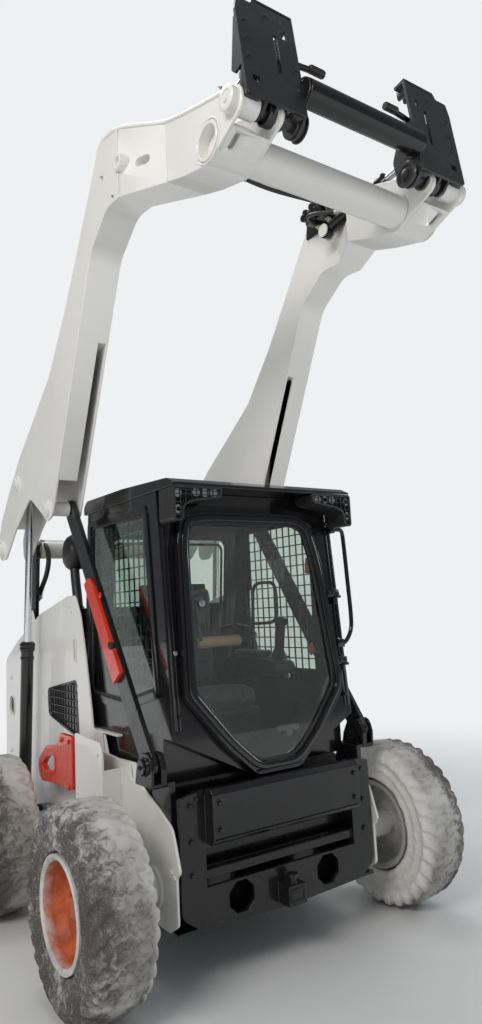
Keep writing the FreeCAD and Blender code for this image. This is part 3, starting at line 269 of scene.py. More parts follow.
def bump(tree, shader, height, strength, distance=0.001):
    """Feeds a height to the shader's normal."""
    made = place_node(tree, "ShaderNodeBump", values={"Strength": strength, "Distance": distance})
    tree.links.new(height, made.inputs["Height"])
    tree.links.new(made.outputs["Normal"], shader.inputs["Normal"])


def paint(colour):
    """A colour: one of the scene's paints by its name, or the value itself."""
    return getattr(bpy.context.scene.loader_paints, colour) if isinstance(colour, str) else colour


def rgba(colour, dim=1.0):
    return (colour[0] * dim, colour[1] * dim, colour[2] * dim, 1.0)


def sprayed_paint(name, colour, rough, soil, soil_top, rub, coat, soil_colour, high_edge=1.2, tone=0.04,
                  shine=0.5):
    """Paint over steel: its own slow change of tone, dust, rubbed edges and orange peel."""
    _, tree, shader = start_material(name, {"Coat Weight": coat, "Coat Roughness": 0.06,
                                            "Specular IOR Level": shine})
    slow = ramp(tree, noise_at(tree, 1.7, 3.0), 0.3, 0.7)
    base = mix_colour(tree, slow, rgba(colour), rgba(colour, 1.0 - tone))
    dirt = use_group(tree, "soiling", {"Patch Scale": 3.1, "Amount": soil, "On Top": soil_top,
                                       "High Edge": high_edge})
    dusty = mix_colour(tree, dirt.outputs["Mask"], base, rgba(soil_colour))
    edge = use_group(tree, "edge_rub", {"Width": 0.0035, "Amount": rub})
    worn = mix_colour(tree, edge.outputs["Mask"], dusty, rgba(paint("steel"), 0.5))
    tree.links.new(worn, shader.inputs["Base Color"])
    blotch = ramp(tree, noise_at(tree, 9.0, 5.0, None, 0.6), 0.3, 0.75, rough, rough + 0.16)
    tree.links.new(plus(tree, blotch, times(tree, dirt.outputs["Mask"], 0.4)), shader.inputs["Roughness"])
    skin = use_group(tree, "sprayed_skin", {"Peel Scale": 210.0, "Grit": 0.35})
    bump(tree, shader, skin.outputs["Height"], 0.10)


def wheel_radius_of(tree):
    """How far a point lies from its axle, and how far out from the machine's middle."""
    axes = tree.nodes.new("ShaderNodeSeparateXYZ")
    tree.links.new(tree.nodes.new("ShaderNodeTexCoord").outputs["Object"], axes.inputs[0])
    middles = [(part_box(node)[0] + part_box(node)[1]) / 2 for node in ("front_left_rim", "rear_left_rim")]
    ends = [calculate(tree, "ABSOLUTE", minus(tree, axes.outputs["Y"], m.y)) for m in middles]
    along = calculate(tree, "MINIMUM", ends[0], ends[1])
    above = minus(tree, axes.outputs["Z"], middles[0].z)
    radius = calculate(tree, "SQRT", plus(tree, times(tree, along, along), times(tree, above, above)), 0.0)
    return radius, calculate(tree, "ABSOLUTE", axes.outputs["X"])


def rim_paint(name, overspray):
    """White mist on the flange and the inner side, old orange-red in the dish."""
    orange = paint("rim_orange")
    _, tree, shader = start_material(name, {"Coat Weight": 0.15, "Coat Roughness": 0.25})
    radius, side = wheel_radius_of(tree)
    wobble = times(tree, noise_at(tree, 18.0, 4.0), 0.010)
    edge = plus(tree, radius, wobble)
    cone = calculate(tree, "MAXIMUM", times(tree, minus(tree, radius, 0.12), 0.4))
    outward_side = ramp(tree, minus(tree, side, cone), 0.8435, 0.8475)
    in_dish = times(tree, ramp(tree, edge, 0.196, 0.188), outward_side)
    misted = mix_colour(tree, ramp(tree, noise_at(tree, 7.0, 5.0), 0.35, 0.7), rgba(overspray, 1.05),
                        rgba(overspray, 0.60))
    patchy = mix_colour(tree, ramp(tree, noise_at(tree, 9.0, 6.0, None, 0.65, 0.8), 0.38, 0.66),
                        rgba(orange), rgba(orange, 0.55))
    faded = mix_colour(tree, ramp(tree, noise_at(tree, 4.0, 5.0), 0.45, 0.72, 0.0, 0.55), patchy,
                       (0.60, 0.30, 0.20, 1.0))
    inner = mix_colour(tree, ramp(tree, side, 0.80, 0.83), (0.30, 0.295, 0.28, 1.0), misted)
    base = mix_colour(tree, in_dish, inner, faded)
    grime = ramp(tree, noise_at(tree, 26.0, 6.0, None, 0.7), 0.58, 0.72, 0.0, 0.7)
    tree.links.new(mix_colour(tree, grime, base, (0.10, 0.085, 0.075, 1.0)), shader.inputs["Base Color"])
    tree.links.new(ramp(tree, noise_at(tree, 11.0, 4.0), 0.3, 0.7, 0.38, 0.64), shader.inputs["Roughness"])
    skin = use_group(tree, "sprayed_skin", {"Peel Scale": 120.0, "Grit": 0.6})
    bump(tree, shader, skin.outputs["Height"], 0.25)


def tyre_rubber(name, rubber):
    """Chewed rubber under white overspray: pale on the tread, white on the inner shoulder, dark in cuts."""
    overspray = paint("overspray")
    _, tree, shader = start_material(name, {"Specular IOR Level": 0.3})
    place = tree.nodes.new("ShaderNodeTexCoord").outputs["Object"]
    radius, side = wheel_radius_of(tree)
    broad = noise_at(tree, 3.2, 4.0, place, 0.55, 0.5)
    chew = noise_at(tree, 30.0, 8.0, place, 0.74, 0.9)
    fibre = noise_at(tree, 120.0, 4.0, place, 0.62, 3.0, (1.0, 0.4, 0.8))
    pits = noise_at(tree, 62.0, 5.0, place, 0.7, 0.4)
    outer_shoulder = ramp(tree, side, 0.80, 0.93)
    inner_shoulder = ramp(tree, side, 0.76, 0.70)
    wall = ramp(tree, radius, 0.372, 0.350)
    exposed = plus(tree, times(tree, outer_shoulder, 0.13), times(tree, wall, 0.05))
    exposed = minus(tree, exposed, times(tree, inner_shoulder, 0.16))
    level = plus(tree, plus(tree, times(tree, chew, 0.75), times(tree, broad, 0.45)), exposed)
    bare = ramp(tree, level, 0.60, 0.80)
    strands = times(tree, ramp(tree, fibre, 0.50, 0.66), 0.55)
    bare = minus(tree, bare, times(tree, bare, strands))
    tone = ramp(tree, broad, 0.35, 0.66)
    mist = mix_colour(tree, tone, rgba(overspray, 0.88), (0.30, 0.285, 0.26, 1.0))
    bright = mix_colour(tree, inner_shoulder, mist, rgba(overspray, 1.12))
    chewed = mix_colour(tree, ramp(tree, chew, 0.3, 0.7), rgba(rubber, 1.3), (0.13, 0.122, 0.112, 1.0))
    shown = mix_colour(tree, bare, bright, chewed)
    spots = ramp(tree, pits, 0.66, 0.74, 0.0, 0.85)
    tree.links.new(mix_colour(tree, spots, shown, (0.05, 0.047, 0.043, 1.0)), shader.inputs["Base Color"])
    tree.links.new(ramp(tree, bare, 0.0, 1.0, 0.55, 0.88), shader.inputs["Roughness"])
    height = minus(tree, plus(tree, times(tree, fibre, 0.3), 0.6), times(tree, plus(tree, bare, spots), 0.5))
    bump(tree, shader, height, 0.8, 0.005)


def plain_finish(name, colour, rough, grain, metal=0.0, soil=0.2, tone=0.12, coat=0.0, slots=None):
    """A finish with a grain, as (scale, strength): plastic, rubber, vinyl, steel or iron."""
    _, tree, shader = start_material(name, {"Metallic": metal, "Coat Weight": coat, **(slots or {})})
    slow = ramp(tree, noise_at(tree, 6.0, 4.0), 0.3, 0.7)
    base = mix_colour(tree, slow, rgba(colour), rgba(colour, 1.0 - tone))
    dirt = use_group(tree, "soiling", {"Patch Scale": 4.0, "Amount": soil, "On Top": 0.5, "High Edge": 2.2})
    dusty = mix_colour(tree, dirt.outputs["Mask"], base, rgba(paint("dust"), 0.7))
    feed(tree, shader, {"Base Color": dusty, "Roughness": ramp(tree, noise_at(tree, 14.0, 4.0), 0.3, 0.7,
                                                               *rough)})
    bump(tree, shader, noise_at(tree, grain[0], 3.0, None, 0.5), grain[1])


def window_glass(name, tint, rough, film):
    """A pane with dried smears, rougher and greyer; rough holds the clean and the dirty value."""
    _, tree, shader = start_material(name, {"Transmission Weight": 1.0, "IOR": 1.45})
    smear = noise_at(tree, 2.6, 7.0, None, 0.62, 1.4, (1.0, 1.0, 0.55))
    fine = noise_at(tree, 30.0, 5.0, None, 0.7)
    mask = times(tree, ramp(tree, smear, 0.44, 0.70), ramp(tree, fine, 0.3, 0.7, 0.5, 1.0))
    filmed = mix_colour(tree, times(tree, mask, film), rgba(tint), (0.30, 0.29, 0.27, 1.0))
    feed(tree, shader, {"Base Color": filmed, "Roughness": ramp(tree, mask, 0.0, 1.0, *rough)})


# Each finish with its maker, its colour or the name of its paint, and its settings.
FINISHES = {
    "white_paint": (sprayed_paint, "arm_white", dict(
        rough=0.30, soil=0.30, soil_top=0.10, rub=0.10, coat=0.5, soil_colour=(0.42, 0.40, 0.37), high_edge=0.9)),
    "black_paint": (sprayed_paint, "gloss_black", dict(
        rough=0.20, soil=0.07, soil_top=0.30, rub=0.12, coat=0.55, soil_colour=(0.16, 0.15, 0.14), shine=0.3)),
    "cab_paint": (sprayed_paint, "gloss_black", dict(
        rough=0.13, soil=0.05, soil_top=0.25, rub=0.06, coat=0.7, soil_colour=(0.20, 0.19, 0.18), shine=0.3)),
    "carrier_paint": (sprayed_paint, (0.020, 0.020, 0.021), dict(
        rough=0.34, soil=0.45, soil_top=0.4, rub=0.30, coat=0.3, soil_colour=(0.10, 0.095, 0.09), high_edge=9.0)),
    "red_paint": (sprayed_paint, "signal_red", dict(
        rough=0.22, soil=0.10, soil_top=0.15, rub=0.10, coat=0.6, soil_colour=(0.20, 0.05, 0.03))),
    "dish_paint": (sprayed_paint, "rim_orange", dict(
        rough=0.45, soil=0.9, soil_top=0.2, rub=0.15, coat=0.1, soil_colour=(0.45, 0.20, 0.11), high_edge=3.0,
        tone=0.45)),
    "rim_paint": (rim_paint, "overspray", {}),
    "tyre": (tyre_rubber, "rubber", {}),
    "black_plastic": (plain_finish, (0.016, 0.016, 0.017), dict(rough=(0.38, 0.58), grain=(420.0, 0.25), soil=0.25)),
    "hose_rubber": (plain_finish, "rubber", dict(rough=(0.35, 0.55), grain=(300.0, 0.2))),
    "seat_fabric": (plain_finish, "vinyl", dict(
        rough=(0.42, 0.60), grain=(340.0, 0.5), soil=0.45, slots={"Sheen Weight": 0.2})),
    "dark_iron": (plain_finish, (0.035, 0.035, 0.036), dict(
        rough=(0.50, 0.75), grain=(90.0, 0.6), metal=0.2, soil=0.5)),
    "straw_foam": (plain_finish, (0.42, 0.34, 0.17), dict(rough=(0.75, 0.95), grain=(210.0, 0.8), soil=0.5, tone=0.3)),
    "orange_tag": (plain_finish, (0.62, 0.13, 0.03), dict(rough=(0.45, 0.6), grain=(260.0, 0.15), tone=0.2)),
    "milky_plastic": (plain_finish, (0.62, 0.61, 0.56), dict(rough=(0.35, 0.5), grain=(180.0, 0.1), soil=0.4)),
    "lamp_red": (plain_finish, (0.36, 0.012, 0.010), dict(rough=(0.12, 0.25), grain=(120.0, 0.1), soil=0.15, coat=0.6)),
    "chrome_rod": (plain_finish, (0.72, 0.73, 0.74), dict(
        rough=(0.06, 0.16), grain=(300.0, 0.03), metal=1.0, soil=0.05, tone=0.05)),
    "zinc_steel": (plain_finish, "steel", dict(rough=(0.25, 0.48), grain=(160.0, 0.12), metal=1.0)),
    "tinted_glass": (window_glass, (0.56, 0.66, 0.60), dict(rough=(0.0, 0.05), film=0.25)),
    "door_glass": (window_glass, (0.93, 0.95, 0.94), dict(rough=(0.0, 0.03), film=0.12)),
    "lamp_glass": (window_glass, (0.90, 0.92, 0.92), dict(rough=(0.04, 0.18), film=0.3)),
}


# Helpers for meshes.

def select_only(obj):
    bpy.ops.object.select_all(action="DESELECT")
    obj.select_set(True)
    bpy.context.view_layer.objects.active = obj


def apply_modifier(obj, kind, **settings):
    """Adds one modifier with its settings and applies it."""
    select_only(obj)
    made = obj.modifiers.new(kind.lower(), kind)
    for key, value in settings.items():
        setattr(made, key, value)
    bpy.ops.object.modifier_apply(modifier=made.name)
    return obj


def settle(obj):
    """Puts the piece's place into its mesh."""
    select_only(obj)
    bpy.ops.object.transform_apply(location=True, rotation=True, scale=True)
    return obj


def smooth(obj, degrees=32):
    select_only(obj)
    bpy.ops.object.shade_smooth_by_angle(angle=math.radians(degrees))
    return obj


def finish_piece(obj, name, body, slot, finish=None):
    """Names a finished piece, or a list to join, and gives it its body and one material: the named finish, or else the
    material named after its slot.
    """
    if isinstance(obj, list):
        obj = joined(obj)
    obj.name = name
    obj.data.name = name
    obj.data.materials.clear()
    obj.data.materials.append(bpy.data.materials[finish or slot])
    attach(obj, body)
    return obj


def finish_pair(piece, name, body, slot, finish=None, sides=("left", "right")):
    """Finishes a piece and its mirror image; sides names the side of each."""
    other = mirrored(piece)
    finish_piece(piece, name + "_" + sides[0], body, slot, finish)
    finish_piece(other, name + "_" + sides[1], body, slot, finish)


def rounded_copy(node, width, clamp=False):
    """A copy of a construction piece, merged, with its plate edges rounded; it stands for the piece."""
    piece = bpy.data.objects.new(node + "_plate", NODES[node].data.copy())
    bpy.context.scene.collection.objects.link(piece)
    select_only(piece)
    bpy.ops.object.mode_set(mode="EDIT")
    bpy.ops.mesh.select_all(action="SELECT")
    bpy.ops.mesh.remove_doubles(threshold=2e-5)
    bpy.ops.mesh.dissolve_limited(angle_limit=math.radians(0.6))
    bpy.ops.object.mode_set(mode="OBJECT")
    apply_modifier(piece, "BEVEL", width=width, segments=2, limit_method="ANGLE",
                   angle_limit=EDGE_ANGLE, use_clamp_overlap=clamp)
    smooth(piece, 40)
    apply_modifier(piece, "WEIGHTED_NORMAL", keep_sharp=True, weight=90)
    finish_piece(piece, node + "_plate", BODY_OF[node], SLOT_OF[node])
    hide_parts(node)


AXLE_Y = 575.0
EDGE_ANGLE = math.radians(35)

# Pins and tubes of the lift, as (y, z) in millimetres.
CARRIER_PIN, CROSS_TUBE, REAR_PIN = (-930, 3340), (-750, 3290), (1550, 1955)
LIFT_BASE, LIFT_PIN, CONTROL_PIN, BRACKET_PIN = (1420, 420), (1250, 2310), (755, 2090), (-80, 900)


def at(x, y, z):
    """A place in millimetres, y counted back from the front axle, in the frame's metres."""
    return Vector((x, y - AXLE_Y, z)) * MM


def pick(obj, kind, test):
    """Selects the faces or edges for which the test holds, and leaves the piece in edit mode."""
    select_only(obj)
    bpy.ops.object.mode_set(mode="EDIT")
    bpy.ops.mesh.select_mode(type=kind)
    bpy.ops.mesh.select_all(action="DESELECT")
    bpy.ops.object.mode_set(mode="OBJECT")
    for item in (obj.data.polygons if kind == "FACE" else obj.data.edges):
        item.select = test(item)
    bpy.ops.object.mode_set(mode="EDIT")


def outward(obj):
    """Turns every face of a closed shape outwards."""
    select_only(obj)
    bpy.ops.object.mode_set(mode="EDIT")
    bpy.ops.mesh.select_all(action="SELECT")
    bpy.ops.mesh.normals_make_consistent(inside=False)
    bpy.ops.object.mode_set(mode="OBJECT")


def eased(corners, radius, steps=4):
    """A closed flat outline with its corners rounded; a corner may carry its own radius."""
    result = []
    for i, corner in enumerate(corners):
        here = Vector(corner[:2])
        size = corner[2] if len(corner) > 2 else radius
        to_last = (Vector(corners[i - 1][:2]) - here)
        to_next = (Vector(corners[(i + 1) % len(corners)][:2]) - here)
        reach = min(size, 0.45 * to_last.length, 0.45 * to_next.length)
        if reach < 0.01:
            result.append(tuple(here))
            continue
        a = here + to_last.normalized() * reach
        b = here + to_next.normalized() * reach
        for k in range(steps + 1):
            t = k / steps
            result.append(tuple(a * (1 - t) ** 2 + here * 2 * t * (1 - t) + b * t ** 2))
    return result


def oblong(across, up, radius, steps=4):
    """The outline of an oblong between two values each way, with its corners rounded."""
    (a, b), (c, d) = across, up
    return eased([(a, c), (a, d), (b, d), (b, c)], radius, steps)


def disc(radius, shoulder, height, top):
    """The profile of a turned disc, bevelled from its shoulder up to a smaller top."""
    return [(0, 0), (0, radius), (shoulder, radius), (height, top), (height, 0)]


def outline_face(outline, axis, start):
    """One face drawn through an outline's corners, across an axis (0 = x, 1 = y, 2 = z)."""
    bpy.ops.mesh.primitive_circle_add(vertices=len(outline), fill_type="NGON", location=(0, 0, 0))
    piece = bpy.context.active_object
    for vertex, corner in zip(piece.data.vertices, outline):
        place = list(corner)
        place.insert(axis, start)
        vertex.co = at(*place)
    return piece


def pull(piece, axis, depth):
    """Extrudes the whole face along an axis, in millimetres."""
    select_only(piece)
    bpy.ops.object.mode_set(mode="EDIT")
    bpy.ops.mesh.select_all(action="SELECT")
    way = [0.0, 0.0, 0.0]
    way[axis] = depth * MM
    bpy.ops.mesh.extrude_region_move(TRANSFORM_OT_translate={"value": way})
    bpy.ops.object.mode_set(mode="OBJECT")
    outward(piece)


def soften(piece, edge, segments=2):
    """Rounds a piece's sharp edges by a width in millimetres."""
    apply_modifier(piece, "BEVEL", width=edge * MM, segments=segments, limit_method="ANGLE",
                   angle_limit=EDGE_ANGLE, use_clamp_overlap=True)


def plate(outline, axis, start, depth, edge=1.5, segments=2):
    """A plate with rounded edges, or with sharp ones where edge is 0."""
    piece = outline_face(outline, axis, start)
    pull(piece, axis, depth)
    if edge:
        soften(piece, edge, segments)
    return smooth(piece, 40)


def ring(outline, axis, start, depth, width, edge=1.5, segments=2):
    """A flat frame along an outline, with an opening inside it."""
    piece = outline_face(outline, axis, start)
    select_only(piece)
    bpy.ops.object.mode_set(mode="EDIT")
    bpy.ops.mesh.select_mode(type="FACE")
    bpy.ops.mesh.select_all(action="SELECT")
    bpy.ops.mesh.inset(thickness=width * MM, use_even_offset=True)
    bpy.ops.mesh.delete(type="FACE")
    bpy.ops.object.mode_set(mode="OBJECT")
    pull(piece, axis, depth)
    soften(piece, edge, segments)
    return smooth(piece, 40)


def turned(profile, place, direction, steps=32, angle=35):
    """A piece turned about an axis: its profile is (distance along the axis, radius) in millimetres."""
    bpy.ops.mesh.primitive_circle_add(vertices=len(profile), fill_type="NOTHING", location=(0, 0, 0))
    piece = bpy.context.active_object
    for vertex, (along, radius) in zip(piece.data.vertices, profile):
        vertex.co = Vector((radius, 0.0, along)) * MM
    if profile[0][1] == 0 and profile[-1][1] == 0:
        last = {0, len(profile) - 1}
        pick(piece, "EDGE", lambda line: set(line.vertices) == last)
        bpy.ops.mesh.delete(type="EDGE")
        bpy.ops.object.mode_set(mode="OBJECT")
    select_only(piece)
    bpy.ops.object.mode_set(mode="EDIT")
    bpy.ops.mesh.select_mode(type="EDGE")
    bpy.ops.mesh.select_all(action="SELECT")
    bpy.ops.mesh.spin(steps=steps, angle=math.tau, center=(0, 0, 0), axis=(0, 0, 1))
    bpy.ops.mesh.select_all(action="SELECT")
    bpy.ops.mesh.remove_doubles(threshold=1e-5)
    bpy.ops.mesh.normals_make_consistent(inside=False)
    bpy.ops.object.mode_set(mode="OBJECT")
    piece.matrix_world = (Matrix.Translation(Vector(place))
                          @ Vector(direction).to_track_quat("Z", "Y").to_matrix().to_4x4())
    settle(piece)
    return smooth(piece, angle)


def rod(places, radius, closed=False, sides=3):
    """A round bar through places in millimetres, made a mesh; two places give a straight one."""
    straight = len(places) == 2
    line = bpy.data.curves.new("rod", "CURVE")
    line.dimensions = "3D"
    line.bevel_depth = radius * MM
    line.bevel_resolution = sides
    line.use_fill_caps = True
    spline = line.splines.new("POLY" if straight else "NURBS")
    spline.points.add(len(places) - 1)
    for point, place in zip(spline.points, places):
        point.co = (*at(*place), 1.0)
    if not straight:
        spline.order_u = 3
        spline.resolution_u = 5
        spline.use_cyclic_u = closed
        spline.use_endpoint_u = not closed
    piece = bpy.data.objects.new("rod", line)
    bpy.context.scene.collection.objects.link(piece)
    select_only(piece)
    bpy.ops.object.convert(target="MESH")
    piece = bpy.context.active_object
    return smooth(piece, 50)


def joined(pieces):
    """Joins several meshes into the first one."""
    bpy.ops.object.select_all(action="DESELECT")
    for item in pieces:
        item.select_set(True)
    bpy.context.view_layer.objects.active = pieces[0]
    if len(pieces) > 1:
        bpy.ops.object.join()
    return settle(bpy.context.active_object)


def copied(part, spots):
    """Copies a small part, made about the origin and pointing up, to each (place, direction, scale if any)."""
    made = []
    for place, direction, *scale in spots:
        item = bpy.data.objects.new(part.name, part.data.copy())
        bpy.context.scene.collection.objects.link(item)
        turn = Vector(direction).to_track_quat("Z", "Y").to_matrix().to_4x4()
        size = Matrix.Diagonal((*scale, 1.0)[:1] * 3).to_4x4()
        item.matrix_world = Matrix.Translation(Vector(place)) @ turn @ size
        made.append(item)
    return joined(made)


def drop(*parts):
    for item in parts:
        bpy.data.objects.remove(item)


def mirrored(piece):
    """The same piece on the other side of the machine."""
    other = bpy.data.objects.new(piece.name, piece.data.copy())
    bpy.context.scene.collection.objects.link(other)
    other.matrix_world = Matrix.Diagonal((-1.0, 1.0, 1.0, 1.0))
    settle(other)
    select_only(other)
    bpy.ops.object.mode_set(mode="EDIT")
    bpy.ops.mesh.select_all(action="SELECT")
    bpy.ops.mesh.flip_normals()
    bpy.ops.object.mode_set(mode="OBJECT")
    return other


def hex_bolt(radius, height):
    """A bolt head with its washer, at the origin and pointing up."""
    bpy.ops.mesh.primitive_cylinder_add(vertices=6, radius=radius * MM, depth=height * MM,
                                        location=(0, 0, height * 0.00065))
    head = bpy.context.active_object
    settle(head)
    apply_modifier(head, "BEVEL", width=radius * 0.00014, segments=2, limit_method="ANGLE",
                   angle_limit=math.radians(40))
    disc = turned([(0, 0), (0, radius * 1.5), (height * 0.12, radius * 1.5), (height * 0.2, radius * 1.4),
                   (height * 0.2, 0)], ORIGIN, UP, 20)
    return smooth(joined([head, disc]), 30)


def bolt_heads(radius, height, spots):
    """One mesh of equal bolt heads, with a head at each (place, direction, scale if any)."""
    bolt = hex_bolt(radius, height)
    heads = copied(bolt, spots)
    drop(bolt)
    return heads


def moved_in(points, by):
    """A clockwise outline's corners moved in by the same distance along both neighbouring runs."""
    result = []
    for i, corner in enumerate(points):
        here = Vector(corner[:2])
        before = (here - Vector(points[i - 1][:2])).normalized()
        after = (Vector(points[(i + 1) % len(points)][:2]) - here).normalized()
        first = Vector((before.y, -before.x))
        second = Vector((after.y, -after.x))
        shift = (first + second) * (by / (1.0 + first.dot(second)))
        result.append((here.x + shift.x, here.y + shift.y) + tuple(corner[2:]))
    return result


def box_piece(x, y, z, edge=2.0, segments=2, tilt=0.0):
    """A block between two values on each axis, with rounded edges; tilt turns it about x, in degrees."""
    bpy.ops.mesh.primitive_cube_add(size=1.0, location=(0, 0, 0))
    piece = bpy.context.active_object
    piece.scale = ((x[1] - x[0]) * MM, (y[1] - y[0]) * MM, (z[1] - z[0]) * MM)
    settle(piece)
    soften(piece, edge, segments)
    piece.rotation_euler.x = math.radians(tilt)
    piece.location = at((x[0] + x[1]) / 2, (y[0] + y[1]) / 2, (z[0] + z[1]) / 2)
    settle(piece)
    return smooth(piece, 40)


def hose(name, places, radius, body):
    """A hydraulic hose through places given in millimetres, with a crimped fitting at each end."""
    line = bpy.data.curves.new(name, "CURVE")
    line.dimensions = "3D"
    line.bevel_depth = radius * MM
    line.bevel_resolution = 3
    line.resolution_u = 8
    line.use_fill_caps = True
    spline = line.splines.new("NURBS")
    spline.points.add(len(places) - 1)
    points = [at(*place) for place in places]
    for point, place in zip(spline.points, points):
        point.co = (*place, 1.0)
    spline.order_u = 3
    spline.use_endpoint_u = True
    piece = bpy.data.objects.new(name, line)
    bpy.context.scene.collection.objects.link(piece)
    line.materials.append(bpy.data.materials["hose_rubber"])
    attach(piece, body)
    profile = [(-4, 0), (-4, radius * 0.9), (0, radius * 1.05), (10, radius * 1.35), (22, radius * 1.35),
               (24, radius * 1.6), (34, radius * 1.6), (36, radius * 1.2), (48, radius * 1.15),
               (50, radius * 0.9), (50, 0)]
    crimps = [turned(profile, first, second - first, 16)
              for first, second in ((points[0], points[1]), (points[-1], points[-2]))]
    fittings = finish_piece(crimps, name + "_fittings", body, "black_paint", "zinc_steel")


def carve(piece, cutter):
    """Takes a cutter's shape out of a piece."""
    apply_modifier(piece, "BOOLEAN", object=cutter, operation="DIFFERENCE", solver="EXACT")
    drop(cutter)
    return piece


def weld(places, radius=4.0, closed=False):
    """A weld bead along places in millimetres: a bar with a rippled surface."""
    bead = rod(places, radius, closed, sides=2)
    ripple = bpy.data.textures.new("ripple", "CLOUDS")
    ripple.noise_scale = 0.006
    apply_modifier(bead, "DISPLACE", texture=ripple, texture_coords="LOCAL", strength=0.003, mid_level=0.6)
    return bead


def circle_points(centre, axis, radius, count=16):
    """Places on a circle about a centre, across an axis (0 = x, 1 = y, 2 = z), in millimetres."""
    places = []
    for k in range(count):
        turn = math.tau * k / count
        spot = [radius * math.cos(turn), radius * math.sin(turn)]
        spot.insert(axis, 0.0)
        places.append(tuple(a + b for a, b in zip(centre, spot)))
    return places


CAB_FOOT = (-140, 800)
CAB_LEAN = math.radians(4.6)
SIDE_WINDOW = [(15, 1192, 40), (82, 1980, 50), (692, 1990, 50), (735, 1140, 60), (330, 1118, 80)]
DOOR = [(-449, 1157, 40), (-434, 1822, 60), (-408, 1952, 40), (-284, 1974, 60), (230, 1974, 80),
        (330, 1930, 60), (378, 1741, 120), (430, 1188, 30), (420, 1114, 30), (262, 925, 60), (120, 800, 60),
        (-120, 800, 60), (-262, 930, 60)]
LAMP_OUTLINE = [(506, 2062, 10), (506, 1904, 24), (458, 1912, 20), (456, 1974, 30), (410, 1996, 20),
                (262, 2016, 20), (256, 2062, 10)]


def leaned(piece):
    """Leans a piece drawn upright at y = 0 back with the cab's front wall."""
    foot = at(0, *CAB_FOOT)
    piece.matrix_world = (Matrix.Translation(foot) @ Matrix.Rotation(-CAB_LEAN, 4, "X")
                          @ Matrix.Translation(-at(0, 0, CAB_FOOT[1])))
    return settle(piece)


def stuffed(piece, cap=0.020):
    """Swells a closed form as foam under its cover does, by no more than the cap, then smooths it."""
    apply_modifier(piece, "REMESH", mode="VOXEL", voxel_size=0.006)
    start = [vertex.co.copy() for vertex in piece.data.vertices]
    cloth = piece.modifiers.new("cloth", "CLOTH")
    cloth.settings.use_pressure = True
    cloth.settings.uniform_pressure_force = 4.0
    cloth.settings.effector_weights.gravity = 0.0
    scene = bpy.context.scene
    for step in range(1, 21):
        scene.frame_set(step)
    select_only(piece)
    bpy.ops.object.modifier_apply(modifier=cloth.name)
    for vertex, first in zip(piece.data.vertices, start):
        moved = vertex.co - first
        if moved.length > cap:
            vertex.co = first + moved.normalized() * cap
    scene.frame_set(1)
    apply_modifier(piece, "SMOOTH", factor=0.5, iterations=6)
    return piece


def sewn(piece, test, depth=0.008, width=5):
    """Draws a channel into a cushion: test gives a point's distance from the seam in millimetres."""
    for vertex, normal in [(v, v.normal.copy()) for v in piece.data.vertices]:
        far = test(vertex.co)
        if far is not None:
            vertex.co -= normal * depth * math.exp(-(far / width) ** 2)


class LOADER_OT_finishes(bpy.types.Operator):
    """Makes every finish and gives the construction pieces theirs"""

    bl_idname = "loader.finishes"
    bl_label = "Finishes"

    def execute(self, context):
        for plain in list(bpy.data.materials):
            bpy.data.materials.remove(plain)
        build_soiling_group()
        build_edge_group()
        build_skin_group()
        for name, (make, colour, settings) in FINISHES.items():
            make(name, paint(colour), **settings)
        for node, obj in NODES.items():
            obj.data.materials.clear()
            obj.data.materials.append(bpy.data.materials[SLOT_OF[node]])
        return {"FINISHED"}


class LOADER_OT_plates(bpy.types.Operator):
    """Rounds the edges of the welded plates and panels"""

    bl_idname = "loader.plates"
    bl_label = "Plates and panels"

    def execute(self, context):
        edge = context.scene.loader_trim.edge
        for node in ("frame_sides", "front_plate", "bumper_box", "link_brackets", "tie_down_hooks",
                     "cab_shell", "cab_roof", "arm_uprights", "arm_noses", "control_links", "arm_support",
                     "rear_links", "door_frame", "tailgate", "engine_hood", "carrier_frame",
                     "consoles", "air_duct", "rear_bumper", "lock_levers"):
            rounded_copy(node, edge)
        rounded_copy("carrier_plates", edge, clamp=True)
        return {"FINISHED"}


